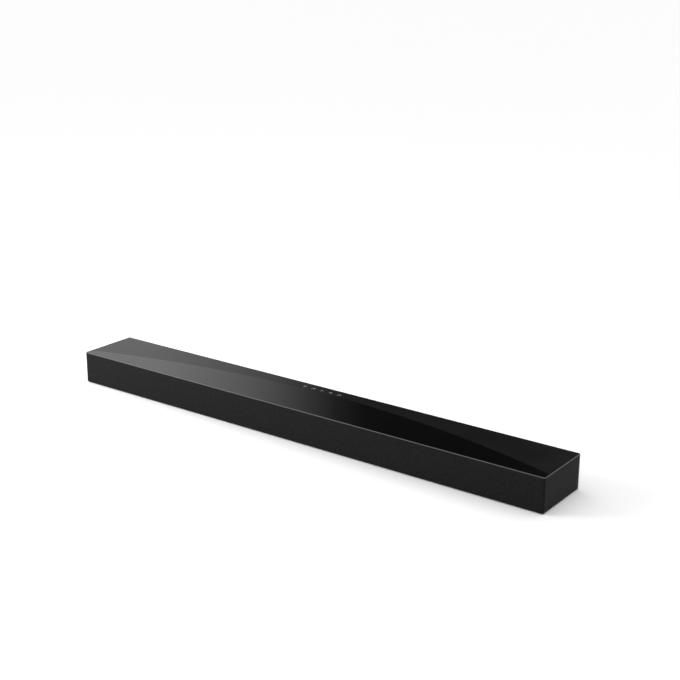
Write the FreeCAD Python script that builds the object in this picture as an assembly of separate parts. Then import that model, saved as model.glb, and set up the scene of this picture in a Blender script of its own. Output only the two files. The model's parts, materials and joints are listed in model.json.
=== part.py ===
"""A long, low soundbar: closed housing, wrap-round cloth grille, arc-shaped gloss panel and seven drivers.

Millimetres. X runs along the bar, the front faces -Y and Z is up. The origin is on the table,
at the middle of the four feet. Every function makes one sub-part, and each is written to
parts/NAME.step under the name that it has in build_nodes().
"""
import FreeCAD
import Part

import math
import os

V = FreeCAD.Vector
X_AXIS = V(1, 0, 0)
Z_AXIS = V(0, 0, 1)

# ---- overall sizes ---------------------------------------------------------------------------------
LENGTH = 1050.0
DEPTH = 126.0
BODY_HEIGHT = 63.0
FOOT_STAND = 1.5            # how far the feet stand below the housing
FRONT_CORNER_R = 4.0        # vertical corners, seen from above
REAR_CORNER_R = 3.0
MIN_CORNER_R = 0.5

# ---- walls and skins -------------------------------------------------------------------------------
SHELL_T = 2.5               # moulded walls of the lower housing and the top cover
CLOTH_T = 0.9
GRILLE_T = 2.5
SEAM = 0.15                 # gap between parts that sit side by side in the top
FIT = 0.3                   # clearance of parts that drop into one another
REAR_RIM = 6.0              # how far the rear wall turns round each end
RIM_GAP = 0.4               # gap between that rim and the end of the grille

# ---- edge trim -------------------------------------------------------------------------------------
TRIM_BAND = 1.6
TRIM_CHAMFER = 0.6
TRIM_FACE = 0.5             # upright face below the chamfer
LEDGE_W = 4.1               # shelf on which the top cover rests
LEDGE_T = 1.1
SHADOW_GAP = 0.3            # between the trim and the top of the cloth

# ---- top cover -------------------------------------------------------------------------------------
SKIRT_T = 1.6
SKIRT_H = 5.0
COVER_RIB_T = 1.5
COVER_RIB_H = 3.0
COVER_RIB_PITCH = 75.0
RIB_FRONT_GAP = 2.0
RIB_REAR_GAP = 4.0
RIB_END_GAP = 10.0
INLAY_T = 0.8
ARC_END = 18.0              # from the front face to the arc, at both ends
ARC_REAR_GAP = 27.0         # from the arc's highest point to the rear face
INLAY_EDGE = 0.25           # small bevel along the arc

# ---- buttons and keypad ----------------------------------------------------------------------------
BUTTON_NAMES = ["power", "source", "volume_down", "volume_up", "pairing"]
BUTTON_PITCH = 20.0
BUTTON_FROM_REAR = 17.5
BUTTON_R = 4.5
BUTTON_GAP = 0.2
BUTTON_PROUD = 0.2
BUTTON_FLANGE = 1.2
BUTTON_FLANGE_T = 0.8
BUTTON_STEM_R = 1.5
BUTTON_EDGE_R = 0.4
STEM_L = 3.0
DOME_R = 3.2
DOME_H = 1.5
DOME_WALL = 0.5
MEMBRANE_T = 0.8
KEY_BOARD_W = 13.0
KEY_POST_R = 3.0
KEY_POST_BEYOND = 11.0      # from the last button to the post that holds the keypad's board
KEY_BOARD_END = 2.0
KEY_PLUG = (12.0, 5.0, 4.0)
KEY_CHIP = (6.0, 6.0, 1.0)
KEY_CHIP_X = 17.0
MEMBRANE_INSET = 1.0
DOME_CROWN = 0.4            # how much wider the dome's crown is than the stem on it
PRESS_GAP = 0.1             # between neighbours that almost touch at rest

# ---- grille ----------------------------------------------------------------------------------------
CLOTH_LIFT = 0.7            # lower edge of the cloth above the underside
WINDOW_RIB = 3.0
WINDOW_MARGIN = 3.5         # from the windows to the edge of the driver behind them
WOOFER_COLUMNS = 5
TWEETER_COLUMNS = 2
END_COLUMNS = 3
GRILLE_TAB = (12.0, 3.0, 3.0)
GRILLE_TAB_PITCH = 150.0

# ---- baffle and drivers ----------------------------------------------------------------------------
BAFFLE_GAP = 12.0           # from the inside of the grille frame to the baffle's face
BAFFLE_T = 3.0
SEAL_T = 1.5                # foam strip between the baffle and the top cover
DRIVER_MARGIN = 4.0         # above and below a driver's flange
WOOFER_W = 110.0
WOOFER_FROM_END = 160.0
TWEETER_FROM_END = 75.0
SIDE_DRIVER_Y = 6.0
SCREW_FROM_EDGE = 2.0       # middle of a driver's screw from the edge of its flange
DRIVER_SCREW_ANGLE = 50.0
FLANGE_T = 2.0
FLANGE_W = 6.0
BASKET_WALL = 1.5
BASKET_DEPTH = 14.0
BASKET_FIT = 0.5
BASKET_BORE_GAP = 1.0
BASKET_WINDOW = (0.8, 0.6)  # windows in the basket's floor, as shares of the room for them
BASKET_SIDE = 0.3           # half the side window, as a share of the opening
BASKET_SIDE_LOW = 3.0
BASKET_SIDE_HIGH = 4.0
SURROUND_W = 6.0
SURROUND_T = 0.6
SURROUND_LIP = 1.5          # glued to the flange outside and lying over the cone's rim inside
CONE_T = 0.8
CONE_RIM = 1.2
CONE_RIM_T = 0.8
CONE_DEPTH = 10.0
NECK_EXTRA = 1.0            # a long cone's neck is this much longer than wide
CAP_ROUND = 1.25            # radius of the dust cap's ball, as a multiple of the cap's own
CAP_LAP = 0.4
COIL_R = 9.7                # inside of the voice coil
COIL_T = 0.7
COIL_GAP = 0.4
COIL_L = 12.0
WASHER_R = 15.0
WASHER_T = 3.0
MAGNET_R = 16.0
MAGNET_T = 9.0
MAGNET_BORE_GAP = 2.0
SPIDER_R = 15.5
SPIDER_T = 0.6
SPIDER_LIFT = 1.8
SPIDER_SEAT = 2.0
TWEETER_R = 17.0
TWEETER_BODY_R = 13.0
TWEETER_BODY_L = 13.0
TWEETER_EDGE = 0.6
TWEETER_WELL = 5.0
TWEETER_GROOVE = 9.0
DOME_TWEETER_R = 9.0
DOME_TWEETER_T = 0.5
DOME_SET = 1.0              # edge of the dome behind the flange's rear face
DOME_ROUND = 1.3            # radius of the dome's ball, as a multiple of its own
TWEETER_COIL_T = 0.6
TWEETER_COIL_TOP = 0.8
TWEETER_COIL_END = 7.0

# ---- fasteners -------------------------------------------------------------------------------------
SCREW_R = 1.4               # housing and board screws
SCREW_HEAD_R = 2.7
SCREW_HEAD_T = 1.8
SCREW_HOLE_R = 1.6          # plain hole that a screw passes through
SMALL_SCREW_R = 1.0         # driver screws
SMALL_HEAD_R = 1.9
SMALL_HEAD_T = 1.3
SMALL_SCREW_PLAY = 0.1
HEAD_EDGE = 0.3             # bevel of a screw's head, as a share of its thickness
RECESS_REACH = 0.62         # cross recess, as shares of the head's radius and thickness
RECESS_HALF = 0.17
RECESS_DEEP = 0.5
BOARD_SCREW_L = 8.0
KEY_SCREW_L = 5.0
THREAD_PLAY = 0.05
POST_R = 4.2
POST_HEAD_Z = 9.0           # seat of a housing screw above the underside
POST_JOIN_Z = 24.0          # where the lower and upper posts meet
HOUSING_SCREW_L = 26.0
POST_END_INSET = 31.0
POST_MID_X = 215.0
POST_REAR_X = 262.0
POST_FROM_BAFFLE = 4.0
INSERT_SPACING = 700.0      # wall bracket holes
INSERT_Z = 32.0
INSERT_R = 3.2
INSERT_BORE_R = 2.0
INSERT_L = 10.0
INSERT_BOSS_R = 5.5
INSERT_BOSS_L = 13.0
INSERT_BOSS_END = 2.0
INSERT_BORE_PLAY = 0.2
RAIL_T = 2.0                # ribs that hold the foot of the baffle
RAIL_H = 3.0
RAIL_END_GAP = 20.0

# ---- feet and vents --------------------------------------------------------------------------------
FOOT_L = 34.0
FOOT_W = 14.0
FOOT_SINK = 1.5
FOOT_FROM_END = 60.0
FOOT_FROM_SIDE = 20.0
FOOT_EDGE = 0.5
VENT_L = 22.0
VENT_W = 3.0
VENT_PITCH = 8.0
VENT_COUNT = 11

# ---- boards and sockets ----------------------------------------------------------------------------
POCKET_DEPTH = 16.0
POCKET_WALL = 2.0
POCKET_Z = 15.0             # floor of both rear pockets above the underside
POCKET_H = 26.0
IO_X = 140.0
IO_W = 112.0
MAINS_X = -140.0
MAINS_W = 34.0
PANEL_T = 2.0
BOARD_T = 1.6
BOARD_Z = 18.5              # underside of the boards above the underside of the housing
BOARD_L = 140.0
BOARD_W = 46.0
STANDOFF_R = 3.5
STANDOFF_INSET = 5.0
SOCKET_SIT = 0.3            # sockets stay this far behind the panel's face
SOCKET_GAP = 0.3
MAINS_BODY = (23.0, 15.0, 16.0)
MAINS_AXIS = 8.0            # middle of the pins above the board
MAINS_WELL_DEPTH = 12.0
MAINS_WELL_HALF = 3.4
MAINS_LOBE_R = 4.2
MAINS_PIN_R = 1.2
MAINS_PIN_PITCH = 8.6
MAINS_PIN_SET = 2.0
MAINS_PIN_ROUND = 0.72
HDMI_FACE = (15.2, 5.8)
HDMI_L = 11.0
HDMI_WALL = 0.5
HDMI_CHAMFER = 1.6
HDMI_TONGUE = (11.6, 1.2)
HDMI_TONGUE_LIFT = 0.3
USB_FACE = (14.4, 7.0)
USB_L = 14.0
USB_WALL = 0.6
USB_TONGUE = (11.2, 1.8)
USB_TONGUE_DROP = 1.5
SOCKET_BACK = 1.5           # closed back of a metal socket
TONGUE_SET = 1.0
OPTICAL_FACE = (9.8, 9.8)
OPTICAL_L = 14.0
OPTICAL_ROOM = 12.0
FERRULE_R = 1.6
FERRULE_BORE_R = 1.1
FERRULE_L = 2.0
FERRULE_Z = 4.4
AUX_FACE = (9.0, 9.0)
AUX_L = 14.0
AUX_NOSE_R = 4.0
AUX_NOSE_L = 2.0
HDMI_X = (-42.0, -22.0)
OPTICAL_X = 0.0
USB_X = 19.0
AUX_X = 38.0
AUX_BORE_R = 1.8
AUX_BORE_L = 13.0
SHUTTER_PIN_R = 0.7
SHUTTER_PLAY = 0.05
SHUTTER_T = 0.8
SHUTTER_SET = 1.2           # shutter's pin behind the socket's face
SHUTTER_PIN_DROP = 1.1
SHUTTER_SIDE_GAP = 0.2
SHUTTER_LOW_GAP = 0.3
PIN_HOLE_HALF = 4.4
PIN_HALF = 4.2
OPTICAL_WALL = 1.2
INDICATOR_X = 182.0         # board with the remote receiver and the status lamps
INDICATOR_W = 40.0
INDICATOR_H = 12.0
INDICATOR_GAP = 4.0
INDICATOR_PLAY = 1.0        # round the board in the grille frame
INDICATOR_POST_R = 2.0
INDICATOR_POST_INSET = 3.0
LAMP = (2.0, 1.0, 1.6)
LAMP_PITCH = 6.0
LAMP_COUNT = 4
RECEIVER = (6.0, 3.0, 7.0)
RECEIVER_LENS_R = 2.2

# parts on the boards: from the board's middle and front edge, then width, depth and height
# (or radius and height)
SUPPLY_PLUG = (8.0, 10.0, 6.0)
SUPPLY_PLUG_DX = 62.0
SUPPLY_PLUG_DY = 26.0
CHIP_H = 1.6
MAIN_CHIPS = [(-42, 11, 14, 14, 2.2), (-20, 16, 12, 12, 1.4), (10, 12, 9, 9, CHIP_H), (28, 12, 9, 9, CHIP_H),
              (-SUPPLY_PLUG_DX, SUPPLY_PLUG_DY, *SUPPLY_PLUG)]
MAIN_CANS = [(-30, 4, 3.0, 9), (-8, 4, 3.0, 9), (46, 6, 4.0, 12), (58, 20, 3.0, 8)]
POWER_BLOCKS = [(26, 20, 28, 24, 20.0), (-26, 34, 16, 12, 14.0), (-50, 12, 10, 4, 14.0),
                (SUPPLY_PLUG_DX, SUPPLY_PLUG_DY, *SUPPLY_PLUG)]
POWER_CANS = [(-34, 14, 8.0, 22), (-10, 12, 6.0, 18), (50, 12, 6.0, 18), (50, 25, 4.0, 12)]
RADIO_PLACE = (-52, 28.5)
RADIO_BASE = (12.0, 16.0, 1.0)
RADIO_CAN = (10.0, 10.0, 2.2)
RADIO_CAN_DY = -2.0
SINK_PLACE = (19, 12)
SINK_BASE = (36.0, 18.0, 2.5)
SINK_H = 12.0
FIN_T = 1.2
FIN_PITCH = 5.0
FIN_COUNT = 7

# ---- leads inside the housing ----------------------------------------------------------------------
LEAD_R = 1.0
LEAD_PITCH = 2.8
LEAD_BEND = 4.0
LEAD_REACH = 10.0           # straight run into each driver's terminal
LEAD_LIFT = 2.0             # above the bottom plate
PLUG_DX = 54.0
PLUG_H = 4.5
PLUG_HALF_W = 3.0
TERMINAL_GAP = 3.2          # from the magnet's rim to the middle of a cone driver's terminal
TERMINAL_ANGLE = 51.3       # how far below the axis's level it sits, in degrees round the magnet
TWEETER_TERMINAL_DROP = 8.0
SUPPLY_R = 1.5
SUPPLY_REACH = 10.0
SUPPLY_SAG = 14.0
SUPPLY_KNEE = 20.0
SUPPLY_BEND = 100.0

# ---- for cutting and for picking edges -------------------------------------------------------------
PAST = 1.0                  # how far a cut runs past what it cuts
NEAR = 0.01                 # an edge this close to a level lies on it

# ---- levels and planes worked out from the sizes above ---------------------------------------------
UNDERSIDE = FOOT_STAND
TOP = UNDERSIDE + BODY_HEIGHT
FLOOR = UNDERSIDE + SHELL_T                     # inside of the bottom plate
CEILING = TOP - SHELL_T                         # inside of the top cover
RIM_TOP = CEILING - LEDGE_T                     # top of the grille frame and the rear wall
CLOTH_TOP = TOP - TRIM_CHAMFER - TRIM_FACE - SHADOW_GAP
CLOTH_BOTTOM = UNDERSIDE + CLOTH_LIFT
MID_Z = (FLOOR + CEILING) / 2
HALF_L = LENGTH / 2
HALF_D = DEPTH / 2
COVER_INSET = TRIM_BAND + SEAM
LEDGE_INSET = CLOTH_T + LEDGE_W
SKIRT_INSET = LEDGE_INSET + FIT
INNER_INSET = CLOTH_T + GRILLE_T                # inside of the grille frame
GRILLE_END_Y = HALF_D - REAR_RIM - RIM_GAP
WALL_Y = HALF_D - SHELL_T                       # inside of the rear wall
BAFFLE_Y = -HALF_D + INNER_INSET + BAFFLE_GAP   # face of the front baffle
END_BAFFLE_X = HALF_L - INNER_INSET - BAFFLE_GAP
DRIVER_H = CEILING - FLOOR - 2 * DRIVER_MARGIN
WOOFER_X = HALF_L - WOOFER_FROM_END
TWEETER_X = HALF_L - TWEETER_FROM_END
BUTTON_Y = HALF_D - BUTTON_FROM_REAR
PANEL_Y = HALF_D - POCKET_DEPTH                 # outer face of the connector panel
BOARD_TOP = UNDERSIDE + BOARD_Z + BOARD_T
BOARD_REAR_Y = PANEL_Y - PANEL_T - SOCKET_GAP
POCKET_LOW = UNDERSIDE + POCKET_Z
MEMBRANE_TOP = CEILING - PRESS_GAP - BUTTON_FLANGE_T - STEM_L - PRESS_GAP
KEY_BOARD_TOP = MEMBRANE_TOP - DOME_H - MEMBRANE_T


# ---- small helpers ---------------------------------------------------------------------------------
def box(x0, x1, y0, y1, z0, z1):
    """Block between two corners."""
    return Part.makeBox(x1 - x0, y1 - y0, z1 - z0, V(x0, y0, z0))


def block(size, x, y, low):
    """Block of that width, depth and height, centred in plan, with its lower face at a level."""
    w, d, h = size
    return box(x - w / 2, x + w / 2, y - d / 2, y + d / 2, low, low + h)


def cyl(radius, start, end):
    """Round bar from one point to another."""
    way = V(*end) - V(*start)
    return Part.makeCylinder(radius, way.Length, V(*start), way)


def tube(outer_r, inner_r, start, end):
    """Round tube from one point to another."""
    return cyl(outer_r, start, end).cut(cyl(inner_r, start, end))


def together(shapes):
    """One solid made from several that meet."""
    first, *others = shapes
    return first.fuse(others).removeSplitter() if others else first


def without(shape, tools):
    """A shape with all the tools cut out of it."""
    return shape.cut(tools).removeSplitter() if tools else shape


def group(shapes):
    """Separate solids that share one node."""
    return Part.makeCompound(shapes)


def outline(inset):
    """Closed outline of the bar seen from above, moved inwards by inset."""
    x, y = HALF_L - inset, HALF_D - inset
    front = max(FRONT_CORNER_R - inset, MIN_CORNER_R)
    rear = max(REAR_CORNER_R - inset, MIN_CORNER_R)
    corners = [(-x, -y, front), (x, -y, front), (x, y, rear), (-x, y, rear)]
    return rounded_polygon(corners)


def rounded_polygon(corners):
    """Closed wire through right-angled corners (x, y, radius), anticlockwise."""
    edges = []
    count = len(corners)
    for i, (x, y, r) in enumerate(corners):
        before, after = corners[i - 1], corners[(i + 1) % count]
        here = V(x, y, 0)
        back = (V(before[0], before[1], 0) - here).normalize()
        ahead = (V(after[0], after[1], 0) - here).normalize()
        start, end = here + back * r, here + ahead * r
        middle = here + (back + ahead) * (r * (1 - math.sqrt(0.5)))
        edges.append(Part.Arc(start, middle, end).toShape())
        next_back = (here - V(after[0], after[1], 0)).normalize()
        next_start = V(after[0], after[1], 0) + next_back * after[2]
        edges.append(Part.LineSegment(end, next_start).toShape())
    return Part.Wire(edges)


def slab(wire, z0, z1):
    """Plate with the outline of a wire drawn at height 0."""
    face = Part.Face(wire)
    face.translate(V(0, 0, z0))
    return face.extrude(V(0, 0, z1 - z0))


def plan_slab(inset, z0, z1):
    return slab(outline(inset), z0, z1)


def plan_ring(outer_inset, inner_inset, z0, z1):
    return plan_slab(outer_inset, z0, z1).cut(plan_slab(inner_inset, z0, z1))


def stadium(width, height):
    """Racetrack outline about the origin, or a circle when both sizes are the same."""
    r = height / 2
    half = width / 2 - r
    if half < NEAR:
        return Part.Wire([Part.makeCircle(r)])
    right_low, right_high = V(half, -r, 0), V(half, r, 0)
    left_high, left_low = V(-half, r, 0), V(-half, -r, 0)
    return Part.Wire([
        Part.LineSegment(left_low, right_low).toShape(),
        Part.Arc(right_low, V(half + r, 0, 0), right_high).toShape(),
        Part.LineSegment(right_high, left_high).toShape(),
        Part.Arc(left_high, V(-half - r, 0, 0), left_low).toShape(),
    ])


def stadium_slab(width, height, z0, z1):
    return slab(stadium(width, height), z0, z1)


def stadium_ring(width, height, wall, z0, z1):
    inside = stadium_slab(width - 2 * wall, height - 2 * wall, z0, z1)
    return stadium_slab(width, height, z0, z1).cut(inside)


def tapered(width0, height0, z0, width1, height1, z1):
    """Solid that runs straight from one racetrack to another."""
    low = stadium(width0, height0)
    low.translate(V(0, 0, z0))
    high = stadium(width1, height1)
    high.translate(V(0, 0, z1))
    return Part.makeLoft([low, high], True, True)


def corners_of(dx, dy):
    return [(sx * dx, sy * dy) for sx in (-1, 1) for sy in (-1, 1)]


# ---- the outside -----------------------------------------------------------------------------------
def arc_disc(z0, z1, shrink):
    """Big round plate whose rear edge is the arc across the top."""
    half_chord = HALF_L - COVER_INSET
    apex_y = HALF_D - ARC_REAR_GAP
    rise = apex_y - (-HALF_D + ARC_END)
    radius = (half_chord ** 2 + rise ** 2) / (2 * rise)
    centre = V(0, apex_y - radius, z0)
    return Part.makeCylinder(radius - shrink, z1 - z0, centre)


def gloss_inlay():
    plate = plan_slab(COVER_INSET, TOP - INLAY_T, TOP)
    disc = arc_disc(TOP - INLAY_T, TOP, SEAM)
    round_edge = [e for e in disc.Edges if abs(e.CenterOfMass.z - TOP) < NEAR and e.Length > LENGTH]
    return plate.common(disc.makeChamfer(INLAY_EDGE, round_edge)).removeSplitter()


def button_centres():
    first = -BUTTON_PITCH * (len(BUTTON_NAMES) - 1) / 2
    return {name: first + BUTTON_PITCH * i for i, name in enumerate(BUTTON_NAMES)}


def post_centres():
    """Places of the screw posts that tie the cover to the lower housing."""
    end_x = HALF_L - POST_END_INSET
    front_y = BAFFLE_Y + BAFFLE_T + POST_R + POST_FROM_BAFFLE
    rear_y = HALF_D - SKIRT_INSET - SKIRT_T - POST_R - FIT
    places = []
    for side in (-1, 1):
        places += [(side * end_x, front_y), (side * POST_MID_X, front_y)]
        places += [(side * end_x, rear_y), (side * POST_REAR_X, rear_y)]
    return places


def key_post_x():
    return button_centres()[BUTTON_NAMES[-1]] + KEY_POST_BEYOND


def top_cover():
    plate = plan_slab(COVER_INSET, CEILING, TOP)
    skirt = plan_ring(SKIRT_INSET, SKIRT_INSET + SKIRT_T, CEILING - SKIRT_H, CEILING)
    pieces = [plate, skirt]
    cuts = [arc_disc(TOP - INLAY_T, TOP + PAST, 0)]
    hole_r = BUTTON_R + BUTTON_GAP
    for x in button_centres().values():
        cuts.append(cyl(hole_r, (x, BUTTON_Y, CEILING - PAST), (x, BUTTON_Y, TOP + PAST)))
    for x, y in post_centres():
        pieces.append(cyl(POST_R, (x, y, POST_JOIN_Z), (x, y, CEILING)))
        hole_top = UNDERSIDE + POST_HEAD_Z + HOUSING_SCREW_L + 1
        cuts.append(cyl(SCREW_R + THREAD_PLAY, (x, y, POST_JOIN_Z - PAST), (x, y, hole_top)))
    for x in (-key_post_x(), key_post_x()):
        pieces.append(cyl(KEY_POST_R, (x, BUTTON_Y, KEY_BOARD_TOP), (x, BUTTON_Y, CEILING)))
        cuts.append(cyl(SCREW_R + THREAD_PLAY, (x, BUTTON_Y, KEY_BOARD_TOP - PAST),
                        (x, BUTTON_Y, CEILING - PAST)))
    rib_front = BAFFLE_Y + BAFFLE_T + RIB_FRONT_GAP
    rib_rear = BUTTON_Y - KEY_BOARD_W / 2 - RIB_REAR_GAP
    count = int((END_BAFFLE_X - BAFFLE_T - RIB_END_GAP) / COVER_RIB_PITCH)
    for i in range(-count, count + 1):
        x = i * COVER_RIB_PITCH
        pieces.append(box(x - COVER_RIB_T / 2, x + COVER_RIB_T / 2, rib_front, rib_rear,
                          CEILING - COVER_RIB_H, CEILING))
    return without(together(pieces), cuts)


def edge_trim():
    band = plan_slab(0, TOP - TRIM_CHAMFER - TRIM_FACE, TOP)
    top_edges = [e for e in band.Edges if abs(e.BoundBox.ZMin - TOP) < NEAR]
    band = band.makeChamfer(TRIM_CHAMFER, top_edges)
    band = band.cut(plan_slab(TRIM_BAND, UNDERSIDE, TOP + PAST))
    web = plan_ring(CLOTH_T, TRIM_BAND, RIM_TOP, TOP - TRIM_CHAMFER)
    ledge = plan_ring(CLOTH_T, LEDGE_INSET, RIM_TOP, CEILING)
    return together([band, web, ledge])


def open_at_rear(ring):
    """The front and the two ends of a ring, up to the rear rim."""
    return ring.cut(box(-LENGTH, LENGTH, GRILLE_END_Y, DEPTH, 0, 2 * TOP))


def grille_fabric():
    return open_at_rear(plan_ring(0, CLOTH_T, CLOTH_BOTTOM, CLOTH_TOP))


def window_grid(width, columns):
    """Local boxes (x0, x1, z0, z1) of two rows of windows about the middle of a driver."""
    cell = (width + WINDOW_RIB) / columns
    near, far = WINDOW_RIB / 2, DRIVER_H / 2 - WINDOW_MARGIN
    rows = [(MID_Z + near, MID_Z + far), (MID_Z - far, MID_Z - near)]
    grid = []
    for i in range(columns):
        x0 = -width / 2 + i * cell
        grid += [(x0, x0 + cell - WINDOW_RIB, z0, z1) for z0, z1 in rows]
    return grid


def grille_frame():
    frame = open_at_rear(plan_ring(CLOTH_T, INNER_INSET, FLOOR, RIM_TOP))
    outer_y, inner_y = -HALF_D, -HALF_D + INNER_INSET + PAST
    groups = [(x, WOOFER_W, WOOFER_COLUMNS) for x in (-WOOFER_X, 0, WOOFER_X)]
    groups += [(x, 2 * TWEETER_R, TWEETER_COLUMNS) for x in (-TWEETER_X, TWEETER_X)]
    cuts = []
    for centre, width, columns in groups:
        for x0, x1, z0, z1 in window_grid(width, columns):
            cuts.append(box(centre + x0, centre + x1, outer_y, inner_y, z0, z1))
    for side in (-1, 1):
        x_out, x_in = side * HALF_L, side * (HALF_L - INNER_INSET - PAST)
        for y0, y1, z0, z1 in window_grid(DRIVER_H, END_COLUMNS):
            cuts.append(box(min(x_out, x_in), max(x_out, x_in),
                            SIDE_DRIVER_Y + y0, SIDE_DRIVER_Y + y1, z0, z1))
    dx, dz = INDICATOR_W / 2 + INDICATOR_PLAY, INDICATOR_H / 2 + INDICATOR_PLAY
    cuts.append(box(INDICATOR_X - dx, INDICATOR_X + dx, outer_y, inner_y, MID_Z - dz, MID_Z + dz))
    tab_l, tab_w, tab_h = GRILLE_TAB
    face = -HALF_D + INNER_INSET
    tabs = []
    count = int((HALF_L - FRONT_CORNER_R - tab_l) / GRILLE_TAB_PITCH)
    for i in range(-count, count + 1):
        x = i * GRILLE_TAB_PITCH
        tabs.append(box(x - tab_l / 2, x + tab_l / 2, face - GRILLE_T / 2, face + tab_w,
                        FLOOR, FLOOR + tab_h))
    return together([without(frame, cuts)] + tabs)


# ---- the lower housing -----------------------------------------------------------------------------
def foot_centres():
    x, y = HALF_L - FOOT_FROM_END, HALF_D - FOOT_FROM_SIDE
    return {"front_left": (-x, -y), "front_right": (x, -y), "rear_left": (-x, y), "rear_right": (x, y)}


def foot(name):
    x, y = foot_centres()[name]
    pad = stadium_slab(FOOT_L, FOOT_W, 0, FOOT_STAND + FOOT_SINK)
    low_edges = [e for e in pad.Edges if e.BoundBox.ZMax < NEAR]
    pad = pad.makeChamfer(FOOT_EDGE, low_edges)
    pad.translate(V(x, y, 0))
    return pad


def pocket(centre_x, width):
    """Solid and hollow of one rear pocket: an open box that reaches in from the rear wall."""
    z0, z1 = POCKET_LOW, POCKET_LOW + POCKET_H
    x0, x1 = centre_x - width / 2, centre_x + width / 2
    w = POCKET_WALL
    shell = box(x0 - w, x1 + w, PANEL_Y, WALL_Y, z0 - w, z1 + w)
    hollow = box(x0, x1, PANEL_Y - PAST, HALF_D + PAST, z0, z1)
    return shell, hollow


def board_corners(centre_x):
    dx, dy = BOARD_L / 2 - STANDOFF_INSET, BOARD_W / 2 - STANDOFF_INSET
    centre_y = BOARD_REAR_Y - BOARD_W / 2
    return [(centre_x + x, centre_y + y) for x, y in corners_of(dx, dy)]


def lower_housing():
    plate_inset = CLOTH_T + PRESS_GAP
    bottom = plan_slab(plate_inset, UNDERSIDE, FLOOR)
    bottom_rear = plan_slab(0, UNDERSIDE, FLOOR)
    rim = plan_ring(0, SHELL_T, UNDERSIDE, RIM_TOP)
    lip = plan_ring(0, CLOTH_T - PRESS_GAP, UNDERSIDE, CLOTH_TOP)
    rear = together([bottom_rear, rim, lip]).common(box(-LENGTH, LENGTH, HALF_D - REAR_RIM, DEPTH, 0, TOP))
    pieces = [bottom, rear]
    cuts = []
    for centre_x, width in ((IO_X, IO_W), (MAINS_X, MAINS_W)):
        shell, hollow = pocket(centre_x, width)
        pieces.append(shell)
        cuts.append(hollow)
    for x, y in post_centres():
        seat = UNDERSIDE + POST_HEAD_Z
        pieces.append(cyl(POST_R, (x, y, UNDERSIDE), (x, y, POST_JOIN_Z)))
        cuts.append(cyl(SCREW_HEAD_R + FIT, (x, y, 0), (x, y, seat)))
        cuts.append(cyl(SCREW_R + FIT, (x, y, seat - PAST), (x, y, POST_JOIN_Z + PAST)))
    board_low = UNDERSIDE + BOARD_Z
    for x, y in board_corners(IO_X) + board_corners(MAINS_X):
        pieces.append(cyl(STANDOFF_R, (x, y, UNDERSIDE + SHELL_T / 2), (x, y, board_low)))
        cuts.append(cyl(SCREW_R + THREAD_PLAY, (x, y, board_low - BOARD_SCREW_L - PAST),
                        (x, y, board_low + PAST)))
    for side in (-1, 1):
        x = side * INSERT_SPACING / 2
        boss_end = HALF_D - INSERT_BOSS_L - INSERT_BOSS_END
        pieces.append(cyl(INSERT_BOSS_R, (x, boss_end, INSERT_Z), (x, WALL_Y, INSERT_Z)))
        cuts.append(cyl(INSERT_R, (x, HALF_D - INSERT_L, INSERT_Z), (x, HALF_D + PAST, INSERT_Z)))
        cuts.append(cyl(INSERT_BORE_R + INSERT_BORE_PLAY, (x, HALF_D - INSERT_BOSS_L, INSERT_Z),
                        (x, HALF_D, INSERT_Z)))
    for x, y in foot_centres().values():
        recess = stadium_slab(FOOT_L, FOOT_W, 0, UNDERSIDE + FOOT_SINK)
        recess.translate(V(x, y, 0))
        cuts.append(recess)
    vent_y = BOARD_REAR_Y - BOARD_W / 2
    for i in range(VENT_COUNT):
        x = IO_X + (i - (VENT_COUNT - 1) / 2) * VENT_PITCH
        slot = stadium_slab(VENT_L, VENT_W, 0, FLOOR + PAST)
        slot.rotate(V(0, 0, 0), Z_AXIS, 90)
        slot.translate(V(x, vent_y, 0))
        cuts.append(slot)
    rail_end = END_BAFFLE_X - RAIL_END_GAP
    for y0 in (BAFFLE_Y - FIT - RAIL_T, BAFFLE_Y + BAFFLE_T + FIT):
        pieces.append(box(-rail_end, rail_end, y0, y0 + RAIL_T, UNDERSIDE + SHELL_T / 2, FLOOR + RAIL_H))
    return without(together(pieces), cuts)


def io_panel():
    plate = box(IO_X - IO_W / 2 - POCKET_WALL, IO_X + IO_W / 2 + POCKET_WALL, PANEL_Y - PANEL_T, PANEL_Y,
                POCKET_LOW - POCKET_WALL, POCKET_LOW + POCKET_H + POCKET_WALL)
    cuts = []
    g = SOCKET_GAP
    for x, width, height in socket_faces():
        cuts.append(box(x - width / 2 - g, x + width / 2 + g, PANEL_Y - PANEL_T - PAST, PANEL_Y + PAST,
                        BOARD_TOP - g, BOARD_TOP + height + g))
    return without(plate, cuts)


def wall_inserts():
    return group([tube(INSERT_R, INSERT_BORE_R, (side * INSERT_SPACING / 2, HALF_D - INSERT_L, INSERT_Z),
                       (side * INSERT_SPACING / 2, HALF_D, INSERT_Z)) for side in (-1, 1)])


# ---- screws ----------------------------------------------------------------------------------------
def screw(shank_r, head_r, head_t, length):
    """Screw that points along +Z, with the underside of its head at the origin and a cross recess."""
    head = cyl(head_r, (0, 0, -head_t), (0, 0, 0))
    rim = [e for e in head.Edges if e.BoundBox.ZMax < -head_t + NEAR]
    head = head.makeChamfer(head_t * HEAD_EDGE, rim)
    body = together([head, cyl(shank_r, (0, 0, 0), (0, 0, length))])
    arm, wide = head_r * RECESS_REACH, head_r * RECESS_HALF
    top, deep = -head_t - PAST, -head_t + head_t * RECESS_DEEP
    cross = together([box(-arm, arm, -wide, wide, top, deep), box(-wide, wide, -arm, arm, top, deep)])
    return body.cut(cross)


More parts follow.
